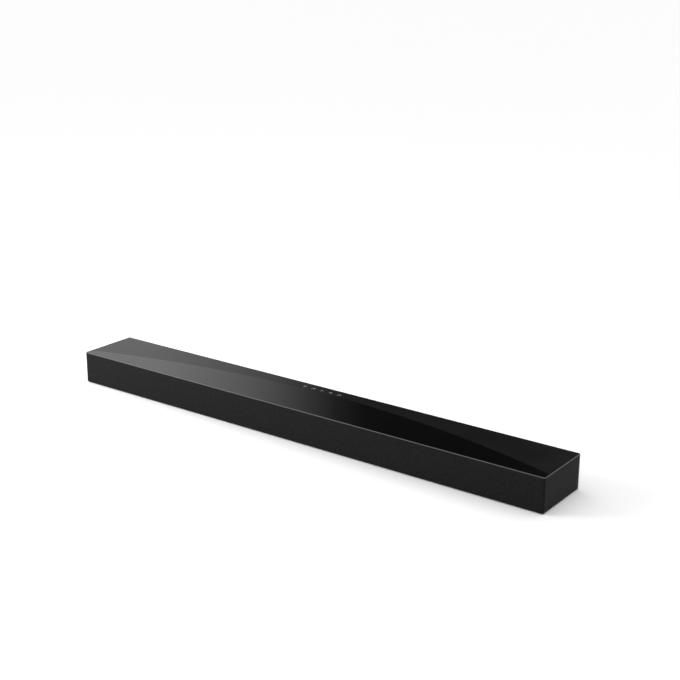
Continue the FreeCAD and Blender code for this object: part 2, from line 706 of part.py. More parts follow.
def placed(shape, origin, x_way, z_way):
    """Copy of a local shape with its origin, X and Z put where they are asked for."""
    x_dir, z_dir = V(*x_way), V(*z_way)
    y_dir = z_dir.cross(x_dir)
    matrix = FreeCAD.Matrix(x_dir.x, y_dir.x, z_dir.x, origin[0],
                            x_dir.y, y_dir.y, z_dir.y, origin[1],
                            x_dir.z, y_dir.z, z_dir.z, origin[2],
                            0, 0, 0, 1)
    copy = shape.copy()
    copy.Placement = FreeCAD.Placement(matrix)
    return copy


def housing_screws():
    one = screw(SCREW_R, SCREW_HEAD_R, SCREW_HEAD_T, HOUSING_SCREW_L)
    seat = UNDERSIDE + POST_HEAD_Z
    return group([placed(one, (x, y, seat), (1, 0, 0), (0, 0, 1)) for x, y in post_centres()])


def board_screws():
    one = screw(SCREW_R, SCREW_HEAD_R, SCREW_HEAD_T, BOARD_SCREW_L)
    screws = [placed(one, (x, y, BOARD_TOP), (1, 0, 0), (0, 0, -1))
              for x, y in board_corners(IO_X) + board_corners(MAINS_X)]
    short = screw(SCREW_R, SCREW_HEAD_R, SCREW_HEAD_T, KEY_SCREW_L)
    low = KEY_BOARD_TOP - BOARD_T
    screws += [placed(short, (x, BUTTON_Y, low), (1, 0, 0), (0, 0, 1)) for x in (-key_post_x(), key_post_x())]
    return group(screws)


# ---- buttons ---------------------------------------------------------------------------------------
def button(name):
    x = button_centres()[name]
    cap = cyl(BUTTON_R, (0, 0, CEILING - PRESS_GAP - BUTTON_FLANGE_T), (0, 0, TOP + BUTTON_PROUD))
    rim = [e for e in cap.Edges if e.BoundBox.ZMin > TOP]
    cap = cap.makeFillet(BUTTON_EDGE_R, rim)
    low = CEILING - PRESS_GAP - BUTTON_FLANGE_T
    flange = cyl(BUTTON_R + BUTTON_FLANGE, (0, 0, low), (0, 0, CEILING - PRESS_GAP))
    stem = cyl(BUTTON_STEM_R, (0, 0, low - STEM_L), (0, 0, low))
    whole = together([cap, flange, stem])
    whole.translate(V(x, BUTTON_Y, 0))
    return whole


def keypad_membrane():
    low = KEY_BOARD_TOP
    half_l = key_post_x() - KEY_POST_R - FIT
    half_w = KEY_BOARD_W / 2 - MEMBRANE_INSET
    sheet = box(-half_l, half_l, BUTTON_Y - half_w, BUTTON_Y + half_w, low, low + MEMBRANE_T)
    pieces, cuts = [sheet], []
    for x in button_centres().values():
        base, crown = low + MEMBRANE_T, low + MEMBRANE_T + DOME_H
        dome = Part.makeCone(DOME_R, BUTTON_STEM_R + DOME_CROWN, DOME_H, V(x, BUTTON_Y, base))
        hollow_h = crown - DOME_WALL - low
        hollow = Part.makeCone(DOME_R - DOME_WALL, BUTTON_STEM_R, hollow_h, V(x, BUTTON_Y, low))
        pieces.append(dome)
        cuts.append(hollow)
    return without(together(pieces), cuts)


def key_board():
    z1, z0 = KEY_BOARD_TOP, KEY_BOARD_TOP - BOARD_T
    half_l = key_post_x() + KEY_POST_R + KEY_BOARD_END
    y0, y1 = BUTTON_Y - KEY_BOARD_W / 2, BUTTON_Y + KEY_BOARD_W / 2
    holes = [cyl(SCREW_HOLE_R, (x, BUTTON_Y, z0 - PAST), (x, BUTTON_Y, z1 + PAST))
             for x in (-key_post_x(), key_post_x())]
    board = without(box(-half_l, half_l, y0, y1, z0, z1), holes)
    return group([board, block(KEY_PLUG, 0, BUTTON_Y, z0 - KEY_PLUG[2]),
                  block(KEY_CHIP, KEY_CHIP_X, BUTTON_Y, z0 - KEY_CHIP[2])])


# ---- drivers ---------------------------------------------------------------------------------------
# Each driver is drawn about its own axis: +Z points the way it plays, and Z = 0 is the baffle's face.
def driver_opening(width, height):
    return width - 2 * FLANGE_W, height - 2 * FLANGE_W


def driver_screw_places(width, height):
    r = height / 2 - SCREW_FROM_EDGE
    half = width / 2 - height / 2
    angle = math.radians(DRIVER_SCREW_ANGLE)
    return [(sx * (half + r * math.cos(angle)), sy * r * math.sin(angle)) for sx, sy in corners_of(1, 1)]


def driver_frame(width, height):
    open_w, open_h = driver_opening(width, height)
    wall = BASKET_WALL
    flange = stadium_ring(width, height, FLANGE_W, 0, FLANGE_T)
    body = stadium_ring(open_w + 2 * wall, open_h + 2 * wall, wall, -BASKET_DEPTH, FLANGE_T / 2)
    floor = stadium_slab(open_w + 2 * wall, open_h + 2 * wall, -BASKET_DEPTH - wall, -BASKET_DEPTH)
    ledge = tube(SPIDER_R, SPIDER_R - SPIDER_SEAT, (0, 0, -BASKET_DEPTH), (0, 0, -BASKET_DEPTH + SPIDER_LIFT))
    cut_low, cut_high = -BASKET_DEPTH - wall - PAST, -BASKET_DEPTH + PAST
    cuts = [cyl(COIL_R + COIL_T + COIL_GAP + BASKET_BORE_GAP, (0, 0, cut_low), (0, 0, cut_high))]
    if width > height + SPIDER_R:
        long, wide = BASKET_WINDOW
        for side in (-1, 1):
            opening = stadium_slab((open_w / 2 - SPIDER_R) * long, open_h * wide, cut_low, cut_high)
            opening.translate(V(side * (open_w / 2 + SPIDER_R) / 2, 0, 0))
            cuts.append(opening)
    half_side = open_w * BASKET_SIDE
    cuts.append(box(-half_side, half_side, -height, height,
                    -BASKET_DEPTH + BASKET_SIDE_LOW, -BASKET_SIDE_HIGH))
    for x, y in driver_screw_places(width, height):
        cuts.append(cyl(SMALL_SCREW_R + SMALL_SCREW_PLAY, (x, y, -PAST), (x, y, FLANGE_T + PAST)))
    return without(together([flange, body, floor, ledge]), cuts)


def driver_magnet():
    top = -BASKET_DEPTH - BASKET_WALL
    washer_low = top - WASHER_T
    magnet_low = washer_low - MAGNET_T
    gap_r = COIL_R + COIL_T + COIL_GAP
    washer = tube(WASHER_R, gap_r, (0, 0, washer_low), (0, 0, top))
    magnet = tube(MAGNET_R, gap_r + MAGNET_BORE_GAP, (0, 0, magnet_low), (0, 0, washer_low))
    plate = cyl(WASHER_R, (0, 0, magnet_low - WASHER_T), (0, 0, magnet_low))
    pole = cyl(COIL_R - COIL_GAP, (0, 0, magnet_low), (0, 0, top))
    return group([washer, magnet, together([plate, pole])])


def driver_cone(width, height):
    open_w, open_h = driver_opening(width, height)
    gap = SURROUND_W + PRESS_GAP
    w, h = open_w - 2 * gap, open_h - 2 * gap
    rim_top = FLANGE_T - PRESS_GAP
    rim_low = rim_top - CONE_RIM_T
    rim = stadium_ring(w, h, CONE_RIM, rim_low, rim_top)
    neck_h = 2 * (COIL_R + COIL_T)
    neck_w = neck_h + (NECK_EXTRA if width > height else 0)
    skin = CONE_T
    outer = tapered(neck_w, neck_h, -CONE_DEPTH, w, h, rim_low)
    inner = tapered(neck_w - 2 * skin, neck_h - 2 * skin, -CONE_DEPTH,
                    w - 2 * CONE_RIM, h - 2 * CONE_RIM, rim_low)
    cone = outer.cut(inner)
    coil = tube(COIL_R + COIL_T, COIL_R, (0, 0, -CONE_DEPTH - COIL_L), (0, 0, -CONE_DEPTH))
    cap_r = COIL_R + COIL_T - skin
    ball_r = cap_r * CAP_ROUND
    drop = math.sqrt(ball_r ** 2 - cap_r ** 2)
    centre = V(0, 0, -CONE_DEPTH - drop)
    shell = Part.makeSphere(ball_r, centre).cut(Part.makeSphere(ball_r - skin, centre))
    cap = shell.common(cyl(cap_r + CAP_LAP, (0, 0, -CONE_DEPTH), (0, 0, CONE_DEPTH)))
    foot_ring = tube(COIL_R + COIL_T, COIL_R - skin, (0, 0, -CONE_DEPTH - skin), (0, 0, -CONE_DEPTH))
    return together([rim, cone, coil, cap, foot_ring])


def surround_section():
    """Half roll with a flat lip on each side, drawn in the XZ plane and bulging towards +Z."""
    radius = SURROUND_W / 2
    wall = SURROUND_T
    lip = radius + SURROUND_LIP
    inner = radius - wall
    points = [V(-lip, 0, 0), V(-inner, 0, 0), V(0, 0, inner), V(inner, 0, 0), V(lip, 0, 0),
              V(lip, 0, wall), V(radius, 0, wall), V(0, 0, radius + wall / 2),
              V(-radius, 0, wall), V(-lip, 0, wall)]
    edges = [
        Part.LineSegment(points[0], points[1]), Part.Arc(points[1], points[2], points[3]),
        Part.LineSegment(points[3], points[4]), Part.LineSegment(points[4], points[5]),
        Part.LineSegment(points[5], points[6]), Part.Arc(points[6], points[7], points[8]),
        Part.LineSegment(points[8], points[9]), Part.LineSegment(points[9], points[0]),
    ]
    return Part.Face(Part.Wire([e.toShape() for e in edges]))


def driver_suspension(width, height):
    open_w, open_h = driver_opening(width, height)
    middle_r = open_h / 2 - SURROUND_W / 2
    half = open_w / 2 - open_h / 2
    section = surround_section()
    section.translate(V(middle_r, 0, FLANGE_T))
    if half < NEAR:
        roll = section.revolve(V(0, 0, 0), Z_AXIS, 360)
    else:
        end = section.revolve(V(0, 0, 0), Z_AXIS, 180)
        side = section.extrude(V(0, 2 * half, 0))
        pieces = []
        for s in (-1, 1):
            pieces.append(placed(end, (s * half, 0, 0), (0, -s, 0), (0, 0, 1)))
            pieces.append(placed(side, (s * half, 0, 0), (0, s, 0), (0, 0, 1)))
        roll = together(pieces)
    spider_z = -BASKET_DEPTH + SPIDER_LIFT
    inner_r = COIL_R + COIL_T + PRESS_GAP
    spider = tube(SPIDER_R, inner_r, (0, 0, spider_z), (0, 0, spider_z + SPIDER_T))
    return group([roll, spider])


def tweeter_screw_places():
    return [side * (TWEETER_R - SCREW_FROM_EDGE) for side in (-1, 1)]


def tweeter_body():
    plate = cyl(TWEETER_R, (0, 0, 0), (0, 0, FLANGE_T))
    rim = [e for e in plate.Edges if e.BoundBox.ZMin > FLANGE_T - NEAR]
    plate = plate.makeChamfer(TWEETER_EDGE, rim)
    can = cyl(TWEETER_BODY_R, (0, 0, -TWEETER_BODY_L), (0, 0, FLANGE_T / 2))
    outer_r = DOME_TWEETER_R + FIT
    hollow = cyl(outer_r, (0, 0, -TWEETER_WELL), (0, 0, FLANGE_T + PAST))
    groove = tube(outer_r, DOME_TWEETER_R - TWEETER_COIL_T - FIT, (0, 0, -TWEETER_GROOVE), (0, 0, 0))
    cuts = [hollow, groove]
    for x in tweeter_screw_places():
        cuts.append(cyl(SMALL_SCREW_R + SMALL_SCREW_PLAY, (x, 0, -PAST), (x, 0, FLANGE_T + PAST)))
    return without(together([plate, can]), cuts)


def tweeter_dome():
    ball_r = DOME_TWEETER_R * DOME_ROUND
    drop = math.sqrt(ball_r ** 2 - DOME_TWEETER_R ** 2)
    centre = V(0, 0, -DOME_SET - drop)
    shell = Part.makeSphere(ball_r, centre).cut(Part.makeSphere(ball_r - DOME_TWEETER_T, centre))
    cap = shell.common(cyl(DOME_TWEETER_R, (0, 0, -DOME_SET), (0, 0, DOME_TWEETER_R)))
    coil = tube(DOME_TWEETER_R, DOME_TWEETER_R - TWEETER_COIL_T, (0, 0, -TWEETER_COIL_END),
                (0, 0, -TWEETER_COIL_TOP))
    return together([cap, coil])


def driver_places():
    """Name: (origin, X direction, playing direction, width) of every cone driver."""
    front = ((1, 0, 0), (0, -1, 0))
    return {
        "woofer_left": ((-WOOFER_X, BAFFLE_Y, MID_Z), *front, WOOFER_W),
        "woofer_centre": ((0, BAFFLE_Y, MID_Z), *front, WOOFER_W),
        "woofer_right": ((WOOFER_X, BAFFLE_Y, MID_Z), *front, WOOFER_W),
        "side_driver_left": ((-END_BAFFLE_X, SIDE_DRIVER_Y, MID_Z), (0, -1, 0), (-1, 0, 0), DRIVER_H),
        "side_driver_right": ((END_BAFFLE_X, SIDE_DRIVER_Y, MID_Z), (0, 1, 0), (1, 0, 0), DRIVER_H),
    }


def tweeter_places():
    return {"tweeter_left": (-TWEETER_X, BAFFLE_Y, MID_Z), "tweeter_right": (TWEETER_X, BAFFLE_Y, MID_Z)}


def baffle_walls(z0, z1):
    """Front wall and two end walls, open to the rear."""
    end_y = HALF_D - SKIRT_INSET - SKIRT_T - FIT
    outside = box(-END_BAFFLE_X, END_BAFFLE_X, BAFFLE_Y, end_y, z0, z1)
    inner_x = END_BAFFLE_X - BAFFLE_T
    return outside.cut(box(-inner_x, inner_x, BAFFLE_Y + BAFFLE_T, end_y + PAST, z0, z1))


def baffle_seal():
    return baffle_walls(CEILING - SEAL_T, CEILING)


def speaker_baffle():
    walls = baffle_walls(FLOOR, CEILING - SEAL_T)
    cuts = []
    for origin, x_way, z_way, width in driver_places().values():
        open_w, open_h = driver_opening(width, DRIVER_H)
        grow = 2 * (BASKET_WALL + BASKET_FIT)
        tools = [stadium_slab(open_w + grow, open_h + grow, -BAFFLE_T - PAST, PAST)]
        tools += [cyl(SMALL_SCREW_R + THREAD_PLAY, (x, y, -BAFFLE_T - PAST), (x, y, PAST))
                  for x, y in driver_screw_places(width, DRIVER_H)]
        cuts += [placed(tool, origin, x_way, z_way) for tool in tools]
    for origin in tweeter_places().values():
        tools = [cyl(TWEETER_BODY_R + BASKET_FIT, (0, 0, -BAFFLE_T - PAST), (0, 0, PAST))]
        tools += [cyl(SMALL_SCREW_R + THREAD_PLAY, (x, 0, -BAFFLE_T - PAST), (x, 0, PAST))
                  for x in tweeter_screw_places()]
        cuts += [placed(tool, origin, (1, 0, 0), (0, -1, 0)) for tool in tools]
    return without(walls, cuts)


def driver_screws():
    one = screw(SMALL_SCREW_R, SMALL_HEAD_R, SMALL_HEAD_T, FLANGE_T + BAFFLE_T + PAST)
    down = one.copy()
    down.rotate(V(0, 0, 0), X_AXIS, 180)
    down.translate(V(0, 0, FLANGE_T))
    screws = []
    for origin, x_way, z_way, width in driver_places().values():
        for x, y in driver_screw_places(width, DRIVER_H):
            here = down.copy()
            here.translate(V(x, y, 0))
            screws.append(placed_again(here, origin, x_way, z_way))
    for origin in tweeter_places().values():
        for x in tweeter_screw_places():
            here = down.copy()
            here.translate(V(x, 0, 0))
            screws.append(placed_again(here, origin, (1, 0, 0), (0, -1, 0)))
    return group(screws)


def placed_again(shape, origin, x_way, z_way):
    """As placed(), for a shape that has already been moved."""
    target = placed(Part.Vertex(0, 0, 0), origin, x_way, z_way).Placement
    copy = shape.copy()
    copy.Placement = target.multiply(shape.Placement)
    return copy


# ---- boards and sockets ----------------------------------------------------------------------------
def circuit_board(centre_x):
    y1 = BOARD_REAR_Y
    low = UNDERSIDE + BOARD_Z
    plate = box(centre_x - BOARD_L / 2, centre_x + BOARD_L / 2, y1 - BOARD_W, y1, low, BOARD_TOP)
    holes = [cyl(SCREW_HOLE_R, (x, y, low - PAST), (x, y, BOARD_TOP + PAST))
             for x, y in board_corners(centre_x)]
    return without(plate, holes)


def on_board(centre_x, dx, dy, *size):
    """Block standing on a board, dx from its middle and dy from its front edge."""
    return block(size, centre_x + dx, BOARD_REAR_Y - BOARD_W + dy, BOARD_TOP)


def can_on_board(centre_x, dx, dy, r, h):
    x = centre_x + dx
    y = BOARD_REAR_Y - BOARD_W + dy
    return cyl(r, (x, y, BOARD_TOP), (x, y, BOARD_TOP + h))


def main_board():
    parts = [circuit_board(IO_X)]
    parts += [on_board(IO_X, *chip) for chip in MAIN_CHIPS]
    parts += [can_on_board(IO_X, *can) for can in MAIN_CANS]
    lead_plug = (2 * PLUG_HALF_W, 4 * LEAD_PITCH, PLUG_H)
    low = UNDERSIDE + BOARD_Z - PLUG_H
    parts.append(block(lead_plug, IO_X + PLUG_DX, BOARD_REAR_Y - BOARD_W / 2, low))
    return group(parts)


def heat_sink():
    """Finned block that lies on the two amplifier chips."""
    dx, dy = SINK_PLACE
    length, width, plate_t = SINK_BASE
    x, y = IO_X + dx, BOARD_REAR_Y - BOARD_W + dy
    base_z = BOARD_TOP + CHIP_H
    pieces = [block(SINK_BASE, x, y, base_z)]
    for i in range(FIN_COUNT):
        left = x - length / 2 + i * FIN_PITCH
        pieces.append(box(left, left + FIN_T, y - width / 2, y + width / 2,
                          base_z + plate_t, base_z + SINK_H))
    return together(pieces)


def wireless_module():
    """Small radio board with its screening can, soldered to the main board."""
    dx, dy = RADIO_PLACE
    x, y = IO_X + dx, BOARD_REAR_Y - BOARD_W + dy
    return group([block(RADIO_BASE, x, y, BOARD_TOP),
                  block(RADIO_CAN, x, y + RADIO_CAN_DY, BOARD_TOP + RADIO_BASE[2])])


def power_board():
    parts = [circuit_board(MAINS_X)]
    parts += [on_board(MAINS_X, *size) for size in POWER_BLOCKS]
    parts += [can_on_board(MAINS_X, *can) for can in POWER_CANS]
    return group(parts)


def mains_inlet():
    z = BOARD_TOP + MAINS_AXIS
    half_w = MAINS_W / 2 + POCKET_WALL
    flange = box(MAINS_X - half_w, MAINS_X + half_w, PANEL_Y - PANEL_T, PANEL_Y,
                 POCKET_LOW - POCKET_WALL, POCKET_LOW + POCKET_H + POCKET_WALL)
    body = block(MAINS_BODY, MAINS_X, PANEL_Y - MAINS_BODY[1] / 2, BOARD_TOP)
    low_y = PANEL_Y - MAINS_WELL_DEPTH
    half = MAINS_PIN_PITCH / 2
    well = [box(MAINS_X - half, MAINS_X + half, low_y, PANEL_Y + PAST,
                z - MAINS_WELL_HALF, z + MAINS_WELL_HALF)]
    pins = []
    for x in (MAINS_X - half, MAINS_X + half):
        well.append(cyl(MAINS_LOBE_R, (x, low_y, z), (x, PANEL_Y + PAST, z)))
        pin_end = PANEL_Y - MAINS_PIN_SET
        pin = cyl(MAINS_PIN_R, (x, low_y, z), (x, pin_end, z))
        tip = [e for e in pin.Edges if e.BoundBox.YMin > pin_end - NEAR]
        pins.append(pin.makeFillet(MAINS_PIN_ROUND, tip))
    return group([without(together([flange, body]), well)] + pins)


def socket_faces():
    """Middle, width and height of every socket in the connector panel."""
    faces = [(IO_X + dx, *HDMI_FACE) for dx in HDMI_X]
    faces += [(IO_X + OPTICAL_X, *OPTICAL_FACE), (IO_X + USB_X, *USB_FACE), (IO_X + AUX_X, *AUX_FACE)]
    return faces


def socket_box(x, width, height, length):
    y1 = PANEL_Y - SOCKET_SIT
    return box(x - width / 2, x + width / 2, y1 - length, y1, BOARD_TOP, BOARD_TOP + height)


def socket_room(x, width, height, length, wall):
    """Inside of a metal socket, open at the front."""
    y1 = PANEL_Y - SOCKET_SIT
    return box(x - width / 2 + wall, x + width / 2 - wall, y1 - length + SOCKET_BACK, y1 + PAST,
               BOARD_TOP + wall, BOARD_TOP + height - wall)


def socket_tongue(x, z, size, length):
    """Tongue of a socket, from its closed back to just behind its face."""
    width, thick = size
    y1 = PANEL_Y - SOCKET_SIT
    return box(x - width / 2, x + width / 2, y1 - length + SOCKET_BACK, y1 - TONGUE_SET,
               z - thick / 2, z + thick / 2)


def lower_corners_cut(shape, low, size):
    """A socket's shell or hollow with its two lower long edges bevelled."""
    edges = [e for e in shape.Edges if e.BoundBox.ZMax < low + NEAR and e.BoundBox.YLength > HDMI_L / 2]
    return shape.makeChamfer(size, edges)


def hdmi_sockets():
    width, height = HDMI_FACE
    solids = []
    for dx in HDMI_X:
        x = IO_X + dx
        shell = lower_corners_cut(socket_box(x, width, height, HDMI_L), BOARD_TOP, HDMI_CHAMFER)
        room = socket_room(x, width, height, HDMI_L, HDMI_WALL)
        room = lower_corners_cut(room, BOARD_TOP + HDMI_WALL, HDMI_CHAMFER)
        solids.append(shell.cut(room))
        solids.append(socket_tongue(x, BOARD_TOP + height / 2 + HDMI_TONGUE_LIFT, HDMI_TONGUE, HDMI_L))
    return group(solids)


def usb_socket():
    x = IO_X + USB_X
    width, height = USB_FACE
    shell = socket_box(x, width, height, USB_L).cut(socket_room(x, width, height, USB_L, USB_WALL))
    tongue_z = BOARD_TOP + height - USB_WALL - USB_TONGUE_DROP
    return group([shell, socket_tongue(x, tongue_z, USB_TONGUE, USB_L)])


def shutter_axis():
    """Middle of the pin on which the optical socket's shutter swings."""
    z = BOARD_TOP + OPTICAL_FACE[1] - OPTICAL_WALL - SHUTTER_PIN_DROP
    return IO_X + OPTICAL_X, PANEL_Y - SOCKET_SIT - SHUTTER_SET, z


def optical_socket():
    x, y, z = shutter_axis()
    width, height = OPTICAL_FACE
    face_y = PANEL_Y - SOCKET_SIT
    back_y = face_y - OPTICAL_ROOM
    w = OPTICAL_WALL
    room = box(x - width / 2 + w, x + width / 2 - w, back_y, face_y + PAST,
               BOARD_TOP + w, BOARD_TOP + height - w)
    pin_hole = cyl(SHUTTER_PIN_R + SHUTTER_PLAY, (x - PIN_HOLE_HALF, y, z), (x + PIN_HOLE_HALF, y, z))
    ferrule_z = BOARD_TOP + FERRULE_Z
    ferrule = tube(FERRULE_R, FERRULE_BORE_R, (x, back_y, ferrule_z), (x, back_y + FERRULE_L, ferrule_z))
    return group([without(socket_box(x, width, height, OPTICAL_L), [room, pin_hole]), ferrule])


def optical_shutter():
    x, y, z = shutter_axis()
    half_w = OPTICAL_FACE[0] / 2 - OPTICAL_WALL - SHUTTER_SIDE_GAP
    low = BOARD_TOP + OPTICAL_WALL + SHUTTER_LOW_GAP
    flap = box(x - half_w, x + half_w, y - SHUTTER_T / 2, y + SHUTTER_T / 2, low, z)
    pin = cyl(SHUTTER_PIN_R, (x - PIN_HALF, y, z), (x + PIN_HALF, y, z))
    return together([flap, pin])


def aux_socket():
    x = IO_X + AUX_X
    width, height = AUX_FACE
    z = BOARD_TOP + height / 2
    face_y = PANEL_Y - SOCKET_SIT
    front = box(x - width, x + width, face_y - AUX_NOSE_L, face_y + PAST, 0, TOP)
    body = socket_box(x, width, height, AUX_L).cut(front)
    nose = cyl(AUX_NOSE_R, (x, face_y - AUX_NOSE_L, z), (x, face_y, z))
    bore = cyl(AUX_BORE_R, (x, face_y - AUX_BORE_L, z), (x, face_y + PAST, z))
    return without(together([body, nose]), [bore])


def indicator_board():
    """Status lamps and remote receiver, held in front of the baffle and behind the cloth."""
    y = BAFFLE_Y - INDICATOR_GAP
    half_w, half_h = INDICATOR_W / 2, INDICATOR_H / 2
    board = box(INDICATOR_X - half_w, INDICATOR_X + half_w, y - BOARD_T, y, MID_Z - half_h, MID_Z + half_h)
    solids = [board]
    for side in (-1, 1):
        x = INDICATOR_X + side * (half_w - INDICATOR_POST_INSET)
        solids.append(cyl(INDICATOR_POST_R, (x, y, MID_Z), (x, BAFFLE_Y, MID_Z)))
    face = y - BOARD_T
    lamp_d, lamp_h = LAMP[1:]
    for i in range(LAMP_COUNT):
        x = INDICATOR_X - half_w + (i + 1) * LAMP_PITCH
        solids.append(block(LAMP, x, face - lamp_d / 2, MID_Z - lamp_h / 2))
    wide, deep, high = RECEIVER
    x = INDICATOR_X + half_w - LAMP_PITCH
    receiver = block(RECEIVER, x, face - deep / 2, MID_Z - high / 2)
    ball = Part.makeSphere(RECEIVER_LENS_R, V(x, face - deep, MID_Z))
    lens = ball.common(box(x - wide / 2, x + wide / 2, face - 2 * deep, face - deep / 2, 0, TOP))
    solids.append(together([receiver, lens]))
    return group(solids)


# ---- leads inside the housing ----------------------------------------------------------------------
def bent_tube(points, radius, bends):
    """Tube through a list of points: straight runs joined by an arc of its own radius at each inner point."""
    points = [V(*p) for p in points]
    edges = []
    start = points[0]
    for before, here, after, bend in zip(points, points[1:], points[2:], bends):
        back, ahead = (before - here).normalize(), (after - here).normalize()
        half_turn = (math.pi - back.getAngle(ahead)) / 2
        reach = bend * math.tan(half_turn)
        enter, leave = here + back * reach, here + ahead * reach
        centre = here + (back + ahead).normalize() * (bend / math.cos(half_turn))
        middle = centre + (here - centre).normalize() * bend
        edges.append(Part.LineSegment(start, enter).toShape())
        edges.append(Part.Arc(enter, middle, leave).toShape())
        start = leave
    edges.append(Part.LineSegment(start, points[-1]).toShape())
    circle = Part.Wire([Part.makeCircle(radius, points[0], points[1] - points[0])])
    return Part.Wire(edges).makePipeShell([circle], True, False)


def terminals():
    """Where each driver's lead ends, and the way it comes out of there; nearest to the plug first."""
    angle = math.radians(TERMINAL_ANGLE)
    dx = (MAGNET_R + TERMINAL_GAP) * math.cos(angle)
    dz = -(MAGNET_R + TERMINAL_GAP) * math.sin(angle)
    basket_y = BAFFLE_Y + BASKET_DEPTH + BASKET_WALL
    basket_x = END_BAFFLE_X - BASKET_DEPTH - BASKET_WALL
    tweeter_y = BAFFLE_Y + TWEETER_BODY_L
    tweeter_z = MID_Z - TWEETER_TERMINAL_DROP
    back = (0, 1, 0)
    right = [((WOOFER_X + dx, basket_y, MID_Z + dz), back), ((TWEETER_X, tweeter_y, tweeter_z), back),
             ((basket_x, SIDE_DRIVER_Y - dx, MID_Z + dz), (-1, 0, 0))]
    left = [((dx, basket_y, MID_Z + dz), back), ((-WOOFER_X + dx, basket_y, MID_Z + dz), back),
            ((-TWEETER_X, tweeter_y, tweeter_z), back),
            ((-basket_x, SIDE_DRIVER_Y - dx, MID_Z + dz), (1, 0, 0))]
    return right, left


def wiring_loom():
    """A lead from the main board to every driver, and the supply lead between the two boards."""
    low = UNDERSIDE + BOARD_Z
    lane_z = FLOOR + LEAD_LIFT + LEAD_R
    first_y = BOARD_REAR_Y - BOARD_W / 2 - 1.5 * LEAD_PITCH
    leads = []
    for side, ends in zip((1, -1), terminals()):
        x = IO_X + PLUG_DX + side * LEAD_PITCH / 2
        for lane, (end, way) in enumerate(ends):
            y = first_y + lane * LEAD_PITCH
            near = V(*end) + V(*way) * LEAD_REACH
            route = [(x, y, low - PLUG_H), (x, y, lane_z), (near.x, y, lane_z), tuple(near), end]
            leads.append(bent_tube(route, LEAD_R, (LEAD_BEND, LEAD_BEND, LEAD_BEND)))
    reach = SUPPLY_PLUG_DX + SUPPLY_PLUG[0] / 2
    x0, x1 = MAINS_X + reach, IO_X - reach
    y, z = BOARD_REAR_Y - BOARD_W + SUPPLY_PLUG_DY, BOARD_TOP + SUPPLY_PLUG[2] / 2
    sag = [(x0, y, z), (x0 + SUPPLY_REACH, y, z), ((x0 + x1) / 2, y, z - SUPPLY_SAG),
           (x1 - SUPPLY_REACH, y, z), (x1, y, z)]
    leads.append(bent_tube(sag, SUPPLY_R, (SUPPLY_KNEE, SUPPLY_BEND, SUPPLY_KNEE)))
    return group(leads)


# ---- every node ------------------------------------------------------------------------------------
def build_nodes():
    nodes = {
        "top_cover": top_cover(),
        "gloss_inlay": gloss_inlay(),
        "edge_trim": edge_trim(),
        "grille_frame": grille_frame(),
        "grille_fabric": grille_fabric(),
        "lower_housing": lower_housing(),
        "speaker_baffle": speaker_baffle(),
        "baffle_seal": baffle_seal(),
        "io_panel": io_panel(),
        "wall_inserts": wall_inserts(),
        "housing_screws": housing_screws(),
        "board_screws": board_screws(),
        "driver_screws": driver_screws(),
        "keypad_membrane": keypad_membrane(),
        "key_board": key_board(),
        "main_board": main_board(),
        "heat_sink": heat_sink(),
        "wireless_module": wireless_module(),
        "power_board": power_board(),
        "mains_inlet": mains_inlet(),
        "hdmi_sockets": hdmi_sockets(),
        "usb_socket": usb_socket(),
        "optical_socket": optical_socket(),
        "optical_shutter": optical_shutter(),
        "aux_socket": aux_socket(),
        "indicator_board": indicator_board(),
        "wiring_loom": wiring_loom(),
    }
    for name in foot_centres():
        nodes["foot_" + name] = foot(name)
    for name in BUTTON_NAMES:
        nodes["button_" + name] = button(name)
    for name, (origin, x_way, z_way, width) in driver_places().items():
        pieces = {
            "frame": driver_frame(width, DRIVER_H),
            "magnet": driver_magnet(),
            "cone": driver_cone(width, DRIVER_H),
            "suspension": driver_suspension(width, DRIVER_H),
        }
        for piece, shape in pieces.items():
            nodes[name + "_" + piece] = placed(shape, origin, x_way, z_way)
    for name, origin in tweeter_places().items():
        nodes[name + "_body"] = placed(tweeter_body(), origin, (1, 0, 0), (0, -1, 0))
        nodes[name + "_dome"] = placed(tweeter_dome(), origin, (1, 0, 0), (0, -1, 0))
    return nodes


def main():
    os.makedirs("parts", exist_ok=True)
    for name, shape in build_nodes().items():
        bad = [s for s in shape.Solids if not s.isValid() or s.Volume <= 0]
        if bad or not shape.Solids:
            raise RuntimeError(name + " has a bad solid")
        shape.exportStep("parts/" + name + ".step")
        print(name, len(shape.Solids), round(shape.Volume))


main()
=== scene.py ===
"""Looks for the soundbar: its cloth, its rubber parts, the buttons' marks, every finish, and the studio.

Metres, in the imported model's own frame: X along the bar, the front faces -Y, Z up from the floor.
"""

import json
import math

import bmesh
import bpy
from mathutils import Matrix, Vector


